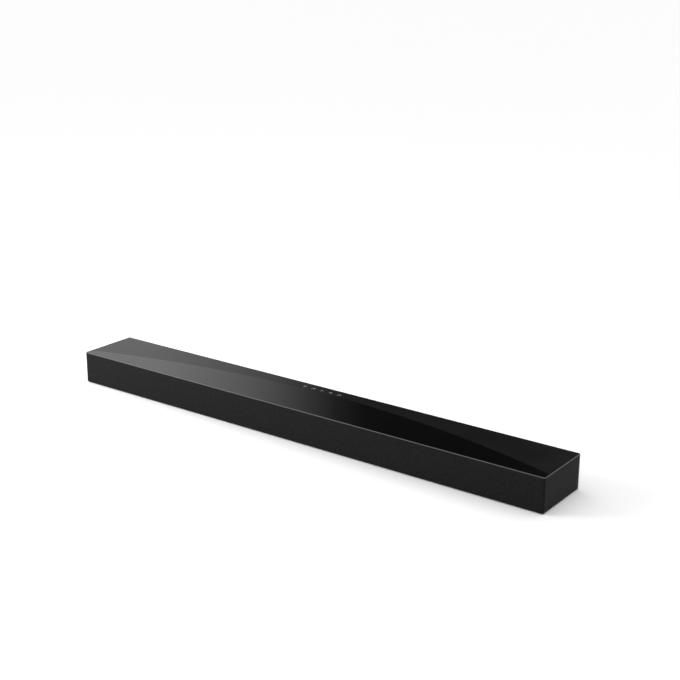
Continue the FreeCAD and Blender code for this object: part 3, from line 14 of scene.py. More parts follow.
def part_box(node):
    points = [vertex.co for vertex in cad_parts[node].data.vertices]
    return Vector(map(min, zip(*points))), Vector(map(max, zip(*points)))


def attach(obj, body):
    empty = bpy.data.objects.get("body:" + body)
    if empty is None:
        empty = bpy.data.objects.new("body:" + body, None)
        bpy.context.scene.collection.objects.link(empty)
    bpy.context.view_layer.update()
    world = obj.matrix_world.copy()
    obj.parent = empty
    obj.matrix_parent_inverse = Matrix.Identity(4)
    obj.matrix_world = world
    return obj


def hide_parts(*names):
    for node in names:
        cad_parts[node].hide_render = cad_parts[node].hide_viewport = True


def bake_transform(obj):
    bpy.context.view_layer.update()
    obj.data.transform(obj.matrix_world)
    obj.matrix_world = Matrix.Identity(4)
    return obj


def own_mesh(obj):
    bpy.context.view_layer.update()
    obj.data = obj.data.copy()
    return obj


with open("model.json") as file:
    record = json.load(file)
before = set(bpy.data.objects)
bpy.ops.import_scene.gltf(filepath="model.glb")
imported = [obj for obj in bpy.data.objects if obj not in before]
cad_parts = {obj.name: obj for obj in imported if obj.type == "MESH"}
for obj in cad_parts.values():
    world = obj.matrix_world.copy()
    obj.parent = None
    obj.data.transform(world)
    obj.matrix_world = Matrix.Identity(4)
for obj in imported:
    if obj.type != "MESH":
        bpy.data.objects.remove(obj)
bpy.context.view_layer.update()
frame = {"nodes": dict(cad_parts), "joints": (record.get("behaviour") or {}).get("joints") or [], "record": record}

MM = 0.001
NEAR = 0.01 * MM                # smaller differences are rounding


# ---- colours, nodes and materials ----------------------------------------------------------------
def linear(colour):
    """An sRGB hex colour as linear RGBA."""
    parts = [int(colour[i:i + 2], 16) / 255 for i in (1, 3, 5)]
    return [p / 12.92 if p <= 0.04045 else ((p + 0.055) / 1.055) ** 2.4 for p in parts] + [1.0]


def add(tree, kind, inputs=(), **settings):
    """Adds a node with its settings; each input is given a value or linked to another node's output."""
    made = tree.nodes.new(kind)
    for name, value in settings.items():
        setattr(made, name, value)
    for name, value in dict(inputs).items():
        if isinstance(value, bpy.types.NodeSocket):
            tree.links.new(value, made.inputs[name])
        else:
            made.inputs[name].default_value = value
    return made


def per_mm(size):
    """Texture scale whose features are that many millimetres apart."""
    return 1 / (size * MM)


def shader(name, roughness, ior=1.5, metallic=0.0, extra=()):
    """A new material, its node tree and its shader, with what is the same all over set on the shader."""
    material = bpy.data.materials.new(name)
    material.use_nodes = True
    tree = material.node_tree
    surface = tree.nodes["Principled BSDF"]
    for socket, value in {"Roughness": roughness, "IOR": ior, "Metallic": metallic, **dict(extra)}.items():
        surface.inputs[socket].default_value = value
    return material, tree, surface


def place(tree, stretch=(1, 1, 1)):
    """Coordinates in metres along the part, stretched along the axes."""
    where = add(tree, "ShaderNodeTexCoord").outputs["Object"]
    return add(tree, "ShaderNodeMapping", {"Vector": where, "Scale": stretch}).outputs["Vector"]


NOISE_LOW, NOISE_HIGH = 0.3, 0.7    # most of the noise lies between these


def blotch(tree, where, size, low, high, detail=2.0):
    """Noise with features of that size in millimetres, running from one value to another."""
    noise = add(tree, "ShaderNodeTexNoise", {"Vector": where, "Scale": per_mm(size), "Detail": detail})
    spread = {"Value": noise.outputs["Fac"], "From Min": NOISE_LOW, "From Max": NOISE_HIGH,
              "To Min": low, "To Max": high}
    return add(tree, "ShaderNodeMapRange", spread).outputs["Result"]


def two_tone(tree, amount, dark, light):
    """Colour between two hex colours by an amount."""
    ends = {"Factor": amount, "A": linear(dark), "B": linear(light)}
    return add(tree, "ShaderNodeMix", ends, data_type="RGBA").outputs["Result"]


def relief(tree, height, depth, normal=None):
    """Bump of that many millimetres' depth."""
    inputs = {"Height": height, "Strength": 1.0, "Distance": depth * MM}
    if normal is not None:
        inputs["Normal"] = normal
    return add(tree, "ShaderNodeBump", inputs).outputs["Normal"]


TONE_SIZE = 60              # mm across a patch of one tone
GLOSS_SIZE = 22             # mm across a patch of one gloss
FINE_DETAIL = 3.0


def moulded(name, dark, light, roughness, grain, depth, ior=1.53, spread=0.05, extra=()):
    """A moulded, coated or cut surface: an even colour, broken by a fine grain; grain and depth are in mm."""
    material, tree, surface = shader(name, roughness, ior, extra=extra)
    where = place(tree)
    fine = blotch(tree, where, grain, 0, 1, detail=FINE_DETAIL)
    wide = blotch(tree, where, TONE_SIZE, 0, 1)
    tree.links.new(two_tone(tree, wide, dark, light), surface.inputs["Base Color"])
    gloss = blotch(tree, where, GLOSS_SIZE, roughness - spread, roughness + spread)
    tree.links.new(gloss, surface.inputs["Roughness"])
    tree.links.new(relief(tree, fine, depth), surface.inputs["Normal"])
    return material


def metal(name, dark, light, roughness, lay, depth, spread=0.06):
    """Metal with its tool marks; lay is the size of a mark in mm along X, Y and Z, and depth is in mm."""
    material, tree, surface = shader(name, roughness, metallic=1.0)
    marks = {"Vector": place(tree, [1 / size for size in lay]), "Scale": per_mm(1), "Detail": FINE_DETAIL}
    lines = add(tree, "ShaderNodeTexNoise", marks).outputs["Fac"]
    tree.links.new(two_tone(tree, lines, dark, light), surface.inputs["Base Color"])
    gloss = {"Value": lines, "To Min": roughness - spread, "To Max": roughness + spread}
    tree.links.new(add(tree, "ShaderNodeMapRange", gloss).outputs["Result"], surface.inputs["Roughness"])
    tree.links.new(relief(tree, lines, depth), surface.inputs["Normal"])
    return material


PANEL_TONE = 90             # mm across a patch of one tone
WIPE_SIZE = 35              # mm across a patch left by a wiping cloth
WIPE_STRETCH = (1, 3, 1)    # wiped along the bar
WIPE_CLEAN, WIPE_SMEARED = 0.03, 0.075
RIPPLE_SIZE, RIPPLE_DEPTH = 14, 0.004


def gloss_acrylic():
    """Black acrylic, moulded against a polished tool: a deep mirror with a trace of ripple and of wiping."""
    material, tree, surface = shader("gloss_acrylic_polished", 0.05, ior=1.49)
    where = place(tree)
    tone = blotch(tree, where, PANEL_TONE, 0, 1)
    tree.links.new(two_tone(tree, tone, "#030303", "#050506"), surface.inputs["Base Color"])
    wiped = blotch(tree, place(tree, WIPE_STRETCH), WIPE_SIZE, WIPE_CLEAN, WIPE_SMEARED, detail=5.0)
    tree.links.new(wiped, surface.inputs["Roughness"])
    ripple = blotch(tree, where, RIPPLE_SIZE, 0, 1)
    tree.links.new(relief(tree, ripple, RIPPLE_DEPTH), surface.inputs["Normal"])
    return material


# Sizes in mm. Real loops are about 0.8 apart, too fine to show, so they are drawn larger.
LOOP = 2.0                  # between loops along a row
COURSE = 1.7                # between rows
WANDER_SIZE, WANDER = 12, 1.2   # the rows drift by this much over this length
FIBRE_SIZE, FIBRE_SHARE = 0.5, 0.3
MOTTLE_SIZE, MOTTLE_SHARE = 4.5, 0.4
LOOP_DEPTH = 0.3


def knitted_cloth():
    """Warp-knitted polyester, dyed black: offset rows of loops, with painted shade darkening the hollows and
    pinholes between them, dull and mottled.
    """
    dull = {"Sheen Weight": 0.04, "Sheen Roughness": 0.4, "Specular IOR Level": 0.1}
    material, tree, surface = shader("polyester_knit_dyed", 0.8, extra=dull)
    flat = add(tree, "ShaderNodeUVMap").outputs["UV"]

    def maths(operation, *values):
        return add(tree, "ShaderNodeMath", dict(enumerate(values)), operation=operation).outputs["Value"]

    wander = add(tree, "ShaderNodeTexNoise", {"Vector": flat, "Scale": per_mm(WANDER_SIZE), "Detail": 2.0})
    bent = add(tree, "ShaderNodeVectorMath", {0: wander.outputs["Color"], 1: (WANDER * MM,) * 3, 2: flat},
               operation="MULTIPLY_ADD")
    axes = add(tree, "ShaderNodeSeparateXYZ", {"Vector": bent.outputs["Vector"]}).outputs
    across = maths("MULTIPLY", axes["Y"], per_mm(COURSE))
    offset = maths("MULTIPLY", maths("FLOOR", across), 0.5)
    along = maths("MULTIPLY_ADD", axes["X"], per_mm(LOOP), offset)
    humps = [maths("SINE", maths("MULTIPLY", maths("FRACT", turns), math.pi)) for turns in (along, across)]
    loops = maths("MULTIPLY", *humps)
    fibre = blotch(tree, flat, FIBRE_SIZE, 0, 1, detail=FINE_DETAIL)
    height = add(tree, "ShaderNodeMix", {"Factor": FIBRE_SHARE, "A": loops, "B": fibre}).outputs["Result"]
    mottle = blotch(tree, flat, MOTTLE_SIZE, 0, 1, detail=4.0)
    # The colour follows the loops' height, so the hollows and pinholes between loops are darker by painted shade;
    # the mottle and the fibre are the yarn's own uneven tone.
    tone = add(tree, "ShaderNodeMix", {"Factor": MOTTLE_SHARE, "A": height, "B": mottle}).outputs["Result"]
    tree.links.new(two_tone(tree, tone, "#020202", "#252525"), surface.inputs["Base Color"])
    tree.links.new(relief(tree, height, LOOP_DEPTH), surface.inputs["Normal"])
    return material


FACE_SLACK = 0.05 * MM      # the mask reaches this far past the board's faces
FLAT_FACE = 0.99            # a face along an axis has a normal at least this long on it
LEVEL_PLACES = 5            # levels are told apart to 0.01 mm
RUN_SPACING = 2.5           # mm between copper runs
RUN_EDGE_LOW, RUN_EDGE_HIGH = 0.25, 0.32    # where a run ends, as a share of their spacing
RUN_DEPTH = 0.03
MASK_ROUGHNESS, EPOXY_ROUGHNESS = 0.28, 0.5
EPOXY_TONE = 8              # mm across a patch of one tone


def board_faces(part):
    """Axis across a board and the levels of its two faces, which are the part's largest flat levels."""
    areas = {}
    for face in part.data.polygons:
        axis = max(range(3), key=lambda k: abs(face.normal[k]))
        if abs(face.normal[axis]) > FLAT_FACE:
            level = (axis, round(face.center[axis], LEVEL_PLACES))
            areas[level] = areas.get(level, 0) + face.area
    (axis, one), (_, other) = sorted(areas, key=areas.get)[-2:]
    return axis, min(one, other), max(one, other)


def populated_board(name, part):
    """Glass-epoxy board under glossy green mask with raised copper runs; what is on it is black epoxy."""
    material, tree, surface = shader("fr4_laminate_" + name, MASK_ROUGHNESS, ior=1.52)
    where = place(tree)
    grid = {"Vector": where, "Scale": per_mm(RUN_SPACING), "Randomness": 0.8}
    cells = add(tree, "ShaderNodeTexVoronoi", grid, distance="MANHATTAN", feature="F1")
    edges = {"Value": cells.outputs["Distance"], "From Min": RUN_EDGE_LOW, "From Max": RUN_EDGE_HIGH}
    runs = add(tree, "ShaderNodeMapRange", edges).outputs["Result"]
    axis, low, high = board_faces(part)
    along = add(tree, "ShaderNodeSeparateXYZ", {"Vector": where}).outputs["XYZ"[axis]]
    between = {0: along, 1: (low + high) / 2, 2: (high - low) / 2 + FACE_SLACK}
    board = add(tree, "ShaderNodeMath", between, operation="COMPARE").outputs["Value"]
    parts = two_tone(tree, blotch(tree, where, EPOXY_TONE, 0, 1), "#131314", "#1c1c1e")
    both = {"Factor": board, "A": parts, "B": two_tone(tree, runs, "#1d6a3a", "#0c3d20")}
    colour = add(tree, "ShaderNodeMix", both, data_type="RGBA").outputs["Result"]
    tree.links.new(colour, surface.inputs["Base Color"])
    gloss = {"Value": board, "To Min": EPOXY_ROUGHNESS, "To Max": MASK_ROUGHNESS}
    tree.links.new(add(tree, "ShaderNodeMapRange", gloss).outputs["Result"], surface.inputs["Roughness"])
    tree.links.new(relief(tree, runs, RUN_DEPTH), surface.inputs["Normal"])
    return material


THREAD = 0.5                # mm; real silk is finer, drawn larger so that it shows
THREAD_DEPTH = 0.03


def coated_silk():
    """Silk under a soft coating: a fine plain weave, slightly tacky and dull."""
    material, tree, surface = shader("silk_woven_coated", 0.55, ior=1.45, extra={"Sheen Weight": 0.3})
    where = place(tree)
    thread = add(tree, "ShaderNodeTexChecker", {"Vector": where, "Scale": per_mm(THREAD)}).outputs["Fac"]
    tree.links.new(two_tone(tree, thread, "#1f1f22", "#2b2b30"), surface.inputs["Base Color"])
    tree.links.new(relief(tree, thread, THREAD_DEPTH), surface.inputs["Normal"])
    return material


# Each record slot's finish, with what it gives the eye. The values are the darker and the lighter colour, the
# roughness, the grain or lay in mm, and its depth in mm.
FINISH = {
    # ABS with a fine satin grain: dark, with a soft blurred reflection at a low angle
    "cover_plastic": moulded("abs_moulded_satin", "#151516", "#19191a", 0.13, 0.7, 0.004, spread=0.012,
                              extra={"Specular IOR Level": 0.16}),
    "gloss_panel": gloss_acrylic(),
    # aluminium, brushed along the bar and anodised gunmetal: an even grey line that catches the light
    "trim_metal": metal("aluminium_brushed_anodised", "#515255", "#626366", 0.34, (14, 14, 0.25), 0.004),
    # ABS straight from the tool: dull black, seen only through gaps
    "grille_plastic": moulded("abs_moulded_matt", "#121213", "#161617", 0.6, 1.0, 0.02),
    "grille_cloth": knitted_cloth(),
    # polystyrene with a coarse spark-eroded texture: dull, and it hides scratches
    "housing_plastic": moulded("polystyrene_moulded_textured", "#151516", "#1b1b1c", 0.52, 0.9, 0.035),
    # fibreboard under matt black paint: slightly furry, brownish black
    "baffle_board": moulded("fibreboard_painted", "#1d1a17", "#26221e", 0.75, 1.6, 0.06),
    # closed-cell foam strip: dead black with open pores
    "seal_foam": moulded("eva_foam_cut", "#121212", "#1a1a1a", 0.95, 0.8, 0.12, ior=1.4),
    # moulded rubber: dull, slightly grey with dust
    "foot_rubber": moulded("rubber_moulded", "#161616", "#202020", 0.82, 0.6, 0.02, ior=1.52),
    # the cover's ABS, polished a little by fingers
    "button_plastic": moulded("abs_moulded_buttons", "#141415", "#19191a", 0.2, 0.7, 0.003, spread=0.03),
    # silicone: milky grey and soft
    "keypad_silicone": moulded("silicone_moulded", "#84868a", "#909296", 0.5, 1.2, 0.01, ior=1.41,
                               extra={"Subsurface Weight": 0.15, "Subsurface Scale": 2 * MM}),
    # free-cutting brass, turned: yellow with fine rings
    "brass": metal("brass_turned", "#a8843f", "#c39d55", 0.26, (0.15, 6, 0.15), 0.006),
    # steel screws, black zinc plated: dark with a faint sheen
    "screw_steel": metal("steel_zinc_plated_black", "#2a2b2d", "#3a3b3e", 0.38, (0.4, 0.4, 0.4), 0.004),
    # extruded aluminium: pale, streaked along the fins
    "heat_sink_aluminium": metal("aluminium_extruded", "#9c9da0", "#b9babd", 0.36, (0.3, 25, 0.3), 0.01),
    # steel sheet, drawn and nickel plated: warm bright grey
    "socket_shell": metal("steel_nickel_plated", "#a5a29a", "#bdbab2", 0.22, (0.6, 3, 0.6), 0.002),
    # glass-filled polyester: black, faintly glossy
    "socket_plastic": moulded("pbt_moulded", "#0e0e0f", "#131314", 0.4, 0.5, 0.008),
    # ABS panel with the housing's texture, a little finer
    "panel_plastic": moulded("abs_moulded_textured", "#171718", "#1d1d1e", 0.5, 0.7, 0.03),
    # PVC insulation, extruded: deep red with a soft shine
    "lead_insulation": moulded("pvc_extruded", "#5f1512", "#741d18", 0.35, 3.0, 0.01),
    # pressed steel under black powder coat: orange-peel skin
    "basket_steel": moulded("steel_powder_coated", "#161617", "#1c1c1d", 0.42, 1.8, 0.03),
    # sintered ferrite, ground: dark grey and dry
    "magnet_ferrite": moulded("ferrite_ground", "#2b2c2e", "#35363a", 0.58, 0.4, 0.01, ior=2.2),
    # polypropylene cone, moulded: dark with a low waxy shine
    "cone_polypropylene": moulded("polypropylene_moulded", "#17171a", "#1e1e22", 0.36, 2.2, 0.01, ior=1.49),
    # butyl rubber roll: soft black
    "surround_rubber": moulded("butyl_rubber_moulded", "#0f0f10", "#151516", 0.62, 1.5, 0.01),
    "dome_silk": coated_silk(),
    # ABS plate of the tweeter: dull black
    "tweeter_plastic": moulded("abs_moulded_fine", "#141415", "#19191a", 0.48, 0.5, 0.01),
}


def spider_cloth():
    """Cotton weave set with resin and pressed: brown, dry and a little rough."""
    return moulded("cotton_weave_pressed", "#4d3b22", "#6b5433", 0.8, 0.9, 0.03)


def button_ink():
    """Pad-printed pale ink: flat and matt, a little thin at its edges."""
    return moulded("ink_pad_printed", "#8e8f91", "#a9aaac", 0.55, 0.4, 0.002)


def dress_frame():
    """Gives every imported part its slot's finish."""
    slots = {part["node"]: part["material_slot"] for part in frame["record"]["subparts"]}
    for name, part in frame["nodes"].items():
        board = slots[name] == "board_laminate"
        part.data.materials.clear()
        part.data.materials.append(populated_board(name, part) if board else FINISH[slots[name]])


# ---- shared helpers ------------------------------------------------------------------------------
def middle_of(node):
    """Middle of a part's outline seen from above."""
    low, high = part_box(node)
    return (low[0] + high[0]) / 2, (low[1] + high[1]) / 2


def new_piece(name, mesh_data, material, body):
    """Makes an object from a bmesh and finishes it; it rides on a body, or on none."""
    mesh = bpy.data.meshes.new(name)
    mesh_data.normal_update()
    mesh_data.to_mesh(mesh)
    mesh_data.free()
    piece = bpy.data.objects.new(name, mesh)
    bpy.context.scene.collection.objects.link(piece)
    mesh.materials.append(material)
    if body:
        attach(piece, body)
    return piece


# ---- grille cloth --------------------------------------------------------------------------------
CLOTH_R = 0.45 * MM             # half its thickness, and the roll of its edges
CORNER_R = 4.0 * MM             # vertical front corners, at its outer face
FLAT_STEP = 6.0 * MM
CORNER_STEPS = 8
EDGE_STEPS = 5


def cloth_path(low, high):
    """Points and outward directions along the cloth's outer face, from the left rear to the right rear."""
    x, front, rear = high[0], low[1], high[1] - CLOTH_R
    path = []

    def straight(start, end, outward):
        count = round((Vector(end) - Vector(start)).length / FLAT_STEP)
        path.extend((Vector(start).lerp(Vector(end), i / count), Vector(outward)) for i in range(count))

    def corner(centre, first_angle):
        for i in range(CORNER_STEPS):
            angle = first_angle + math.pi / 2 * i / CORNER_STEPS
            outward = Vector((math.cos(angle), math.sin(angle)))
            path.append((Vector(centre) + outward * CORNER_R, outward))

    straight((-x, rear), (-x, front + CORNER_R), (-1, 0))
    corner((CORNER_R - x, front + CORNER_R), math.pi)
    straight((CORNER_R - x, front), (x - CORNER_R, front), (0, -1))
    corner((x - CORNER_R, front + CORNER_R), 3 * math.pi / 2)
    straight((x, front + CORNER_R), (x, rear), (1, 0))
    path.append((Vector((x, rear)), Vector((1, 0))))
    return path


def cloth_section(low, high, r):
    """Outline of the cloth's section, its edges rolled with radius r: depth behind the face, and height."""
    rows = round((high - low) / FLAT_STEP)
    heights = [low + r + (high - low - 2 * r) * i / rows for i in range(rows + 1)]
    rolls = [math.pi * i / EDGE_STEPS for i in range(1, EDGE_STEPS)]
    outline = [(CLOTH_R - r, z) for z in heights]
    outline += [(CLOTH_R - r * math.cos(a), heights[-1] + r * math.sin(a)) for a in rolls]
    outline += [(CLOTH_R + r, z) for z in reversed(heights)]
    outline += [(CLOTH_R + r * math.cos(a), heights[0] - r * math.sin(a)) for a in rolls]
    return outline


def make_cloth():
    """The knitted cloth, stretched round the front and both ends, with every edge rolled."""
    low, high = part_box("grille_fabric")
    path = cloth_path(low, high)
    rolls = [math.pi / 2 * i / EDGE_STEPS for i in range(1, EDGE_STEPS)]
    rearwards = Vector((0, CLOTH_R))
    stations = [(path[0][0] + rearwards * math.cos(a), path[0][1], math.sin(a)) for a in rolls]
    stations += [(point, outward, 1.0) for point, outward in path]
    stations += [(path[-1][0] + rearwards * math.cos(a), path[-1][1], math.sin(a)) for a in reversed(rolls)]

    mesh = bmesh.new()
    uv = mesh.loops.layers.uv.new("cloth")
    rings, along, before = [], 0.0, stations[0][0]
    for point, outward, share in stations:
        along += (point - before).length
        before = point
        r = CLOTH_R * share
        outline = cloth_section(low[2] + CLOTH_R - r, high[2] - CLOTH_R + r, r)
        verts = [mesh.verts.new((*(point - outward * depth), z)) for depth, z in outline]
        rings.append((verts, [(along, z) for _, z in outline]))
    count = len(rings[0][0])
    for (verts_a, spots_a), (verts_b, spots_b) in zip(rings, rings[1:]):
        for i in range(count):
            j = (i + 1) % count
            face = mesh.faces.new((verts_a[i], verts_b[i], verts_b[j], verts_a[j]))
            face.smooth = True
            for loop, spot in zip(face.loops, (spots_a[i], spots_b[i], spots_b[j], spots_a[j])):
                loop[uv].uv = spot
    mesh.faces.new(reversed(rings[0][0]))
    mesh.faces.new(rings[-1][0])
    bmesh.ops.recalc_face_normals(mesh, faces=mesh.faces)

    cloth = new_piece("grille_cloth", mesh, FINISH["grille_cloth"], "casing")
    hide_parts("grille_fabric")


# ---- rubber and cloth parts ----------------------------------------------------------------------
KEY_SHEET_T = 0.8 * MM          # the keypad's sheet, below its domes
KEY_SHEET_LIP = 0.01 * MM       # the domes are cut off this far above it
KEY_DOME_ROOM = 8.0 * MM        # more than a dome's radius, less than the way to the next
ROLL_W = 6.0 * MM               # across the half roll of a surround
ROLL_T = 0.6 * MM
ROLL_LIP = 1.5 * MM             # flat lip glued to the basket outside and to the cone inside
ROLL_STEPS = 10
SPIDER_IN = 10.5 * MM           # glued to the coil
SPIDER_OUT = 15.5 * MM
SPIDER_SEAT = 13.4 * MM         # flat from here outwards, on the basket's ledge
SPIDER_HELD = 14.5 * MM         # bends inside this radius
SPIDER_T = 0.3 * MM
SPIDER_WAVE = 0.15 * MM         # the waves hang down, clear of the cone when it is in
SPIDER_WAVES = 2
SPIDER_STEPS = 24
SECTORS = 8
SECTOR = 2 * math.pi / SECTORS
SECTOR_STEPS = 4


def cut_out(part, planes):
    """A copy of a part's mesh without what lies beyond each plane, given as a point and a way out."""
    mesh = bmesh.new()
    mesh.from_mesh(part.data)
    for point, beyond in planes:
        everything = [*mesh.verts, *mesh.edges, *mesh.faces]
        bmesh.ops.bisect_plane(mesh, geom=everything, plane_co=point, plane_no=beyond, clear_outer=True)
    return mesh


def make_keypad():
    """The keypad's rubber: a sheet, and under each button a dome, each a piece on the casing."""
    part = frame["nodes"]["keypad_membrane"]
    low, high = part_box("keypad_membrane")
    level = low[2] + KEY_SHEET_T + KEY_SHEET_LIP
    sheet = new_piece("keypad_sheet", cut_out(part, [((0, 0, level), (0, 0, 1))]),
                      FINISH["keypad_silicone"], "casing")
    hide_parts("keypad_membrane")
    for joint in frame["joints"]:
        if joint["name"].startswith("press_"):
            x, y = middle_of(joint["child"])
            planes = [((0, 0, level), (0, 0, -1)), ((x - KEY_DOME_ROOM, 0, 0), (-1, 0, 0)),
                      ((x + KEY_DOME_ROOM, 0, 0), (1, 0, 0))]
            dome = new_piece(joint["child"].replace("button", "keypad_dome"), cut_out(part, planes),
                             FINISH["keypad_silicone"], "casing")
            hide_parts("keypad_membrane")
            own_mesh(dome)


def roll_outline(middle, base):
    """Radius and height round the section of a half roll with a flat lip on each side."""
    half, lip = ROLL_W / 2, ROLL_W / 2 + ROLL_LIP
    turns = [math.pi * i / ROLL_STEPS for i in range(ROLL_STEPS + 1)]
    over = [(middle - half * math.cos(a), base + ROLL_T + (half - ROLL_T / 2) * math.sin(a)) for a in turns]
    under = [(middle + (half - ROLL_T) * math.cos(a), base + (half - ROLL_T) * math.sin(a)) for a in turns]
    return [(middle - lip, base), (middle - lip, base + ROLL_T), *over,
            (middle + lip, base + ROLL_T), (middle + lip, base), *under]


def spider_outline(base):
    """Radius and height round the section of a spider: waves inside, flat outside."""
    line = []
    for i in range(SPIDER_STEPS + 1):
        radius = SPIDER_IN + (SPIDER_OUT - SPIDER_IN) * i / SPIDER_STEPS
        share = min(1.0, (radius - SPIDER_IN) / (SPIDER_SEAT - SPIDER_IN))
        line.append((radius, base - SPIDER_WAVE * (1 - math.cos(2 * math.pi * SPIDER_WAVES * share))))
    return [(radius, height + SPIDER_T) for radius, height in line] + line[::-1]


def sector_path(number, shift):
    """The arc's centre and the angle at each step of a sector; between two arcs the path runs straight."""
    path = []
    for i in range(SECTOR_STEPS + 1):
        step = number * SECTOR_STEPS + i - SECTOR_STEPS // 2
        turn = SECTOR * step / SECTOR_STEPS
        quarter, over = divmod(step, SECTORS * SECTOR_STEPS // 4)
        left = quarter % 4 in (1, 2)
        if over == 0 and quarter % 2 and shift:
            path.append((shift if left else -shift, turn))
        path.append((-shift if left else shift, turn))
    return path


def make_ring(name, driver, material, outline, held, carried, shift, spot):
    """A ring in sectors, each its own piece on no body; the held and the carried radius go into points that
    nothing uses.
    """
    for number in range(SECTORS):
        mesh = bmesh.new()
        path = sector_path(number, shift)
        rings = [[mesh.verts.new(spot(centre + radius * math.cos(turn), radius * math.sin(turn), height))
                  for radius, height in outline] for centre, turn in path]
        for ring_a, ring_b in zip(rings, rings[1:]):
            for i in range(len(outline)):
                j = (i + 1) % len(outline)
                mesh.faces.new((ring_a[i], ring_b[i], ring_b[j], ring_a[j])).smooth = True
        for cap in (mesh.faces.new(reversed(rings[0])), mesh.faces.new(rings[-1])):
            for edge in cap.edges:
                edge.smooth = False
        bmesh.ops.recalc_face_normals(mesh, faces=mesh.faces)
        piece = new_piece(f"{driver}_{name}_{number + 1}", mesh, material, None)
        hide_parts(driver + "_suspension")
        centre, turn = path[-1][0], number * SECTOR
        start, end = (spot(centre + radius * math.cos(turn), radius * math.sin(turn), 0)
                      for radius in (held * math.cos(SECTOR / 2), carried))
        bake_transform(piece)


def make_suspension(driver, out, rubber, cloth):
    """A cone driver's rubber roll and its spider, between the basket and the cone."""
    low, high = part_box(driver + "_suspension")
    upward = Vector((0, 0, 1))
    sideways = upward.cross(out)
    middle, half = (low + high) / 2, (high - low) / 2
    reach = half[2]
    shift = abs(half.dot(sideways)) - reach
    shift = shift if shift > NEAR else 0.0
    depth, thick = middle.dot(out), abs(half.dot(out))
    centre = middle - out * depth

    def spot(across, up, height):
        return centre + sideways * across + upward * up + out * height

    roll_r = reach - ROLL_LIP - ROLL_W / 2
    roll = roll_outline(roll_r, depth + thick - ROLL_W / 2 - ROLL_T / 2)
    make_ring("surround", driver, rubber, roll, roll_r + ROLL_W / 2, roll_r - ROLL_W / 2, shift, spot)
    spider = spider_outline(depth - thick)
    make_ring("spider", driver, cloth, spider, SPIDER_HELD, SPIDER_IN, 0.0, spot)


def make_suspensions():
    """The roll and the spider of every cone driver."""
    cloth = spider_cloth()
    for joint in frame["joints"]:
        driver = joint["name"].removesuffix("_stroke")
        if driver + "_suspension" in frame["nodes"]:
            make_suspension(driver, Vector(joint["axis"]), FINISH["surround_rubber"], cloth)


# ---- marks printed on the buttons ----------------------------------------------------------------
MARK_PROUD = 0.02 * MM
MARK_LINE = 0.75 * MM
MARK_R = 2.7 * MM
RING_STEPS = 24
BOLD = 1.2                      # a bold line's width as a share of MARK_LINE
STEM_UP, STEM_L = 0.75, 1.1     # this and the next two are shares of MARK_R
SHAFT_BACK, SHAFT_L = 0.3, 1.6
BARB_AHEAD, BARB_UP, BARB_L = 0.35, 0.38, 1.1
POWER_FROM, POWER_TO = math.radians(125), math.radians(415)
WAVE_HALF_ANGLE = 0.8           # radians


def bar(mesh, centre, length, width, angle, top):
    """Flat bar of ink about a point, turned by an angle."""
    turn = Matrix.Rotation(angle, 2)
    corners = [Vector((sx * length / 2, sy * width / 2)) for sx, sy in ((-1, -1), (1, -1), (1, 1), (-1, 1))]
    ink(mesh, [Vector(centre) + turn @ corner for corner in corners], top)


def ring(mesh, centre, radius, width, first, last, top):
    """Flat arc of ink between two angles."""
    for i in range(RING_STEPS):
        a, b = (first + (last - first) * k / RING_STEPS for k in (i, i + 1))
        outline = []
        for angle, r in ((a, radius - width / 2), (a, radius + width / 2),
                         (b, radius + width / 2), (b, radius - width / 2)):
            outline.append(Vector(centre) + Vector((math.cos(angle), math.sin(angle))) * r)
        ink(mesh, outline, top)


def ink(mesh, outline, top):
    """A closed film of ink with that outline, standing just proud of a face."""
    lower = [mesh.verts.new((p.x, p.y, top)) for p in outline]
    upper = [mesh.verts.new((p.x, p.y, top + MARK_PROUD)) for p in outline]
    mesh.faces.new(upper)
    mesh.faces.new(list(reversed(lower)))
    for i in range(len(outline)):
        j = (i + 1) % len(outline)
        mesh.faces.new((lower[i], lower[j], upper[j], upper[i]))


def mark_power(mesh, centre, top):
    """An open ring with an upright stem in its gap."""
    x, y = centre
    ring(mesh, centre, MARK_R, MARK_LINE, POWER_FROM, POWER_TO, top)
    bar(mesh, (x, y + MARK_R * STEM_UP), MARK_R * STEM_L, MARK_LINE, math.pi / 2, top)


def mark_source(mesh, centre, top):
    """An arrow that points at a line."""
    x, y = centre
    bar(mesh, (x - MARK_R * SHAFT_BACK, y), MARK_R * SHAFT_L, MARK_LINE, 0, top)
    for side in (-1, 1):
        barb = (x + MARK_R * BARB_AHEAD, y + side * MARK_R * BARB_UP)
        bar(mesh, barb, MARK_R * BARB_L, MARK_LINE, -side * math.pi / 4, top)
    bar(mesh, (x + MARK_R, y), MARK_R * 2, MARK_LINE, math.pi / 2, top)


def mark_volume_down(mesh, centre, top):
    """A minus."""
    bar(mesh, centre, MARK_R * 2, MARK_LINE * BOLD, 0, top)


def mark_volume_up(mesh, centre, top):
    """A plus, whose upright is in two halves that meet the bar's edges."""
    x, y = centre
    half_line = MARK_LINE * BOLD / 2
    bar(mesh, centre, MARK_R * 2, MARK_LINE * BOLD, 0, top)
    for side in (-1, 1):
        arm = (x, y + side * (MARK_R + half_line) / 2)
        bar(mesh, arm, MARK_R - half_line, MARK_LINE * BOLD, math.pi / 2, top)


def mark_pairing(mesh, centre, top):
    """A dot between two arcs."""
    ring(mesh, centre, MARK_LINE / 2, MARK_LINE, 0, math.tau, top)
    for side in (0, math.pi):
        ring(mesh, centre, MARK_R, MARK_LINE, side - WAVE_HALF_ANGLE, side + WAVE_HALF_ANGLE, top)


MARKS = {"power": mark_power, "source": mark_source, "volume_down": mark_volume_down,
         "volume_up": mark_volume_up, "pairing": mark_pairing}


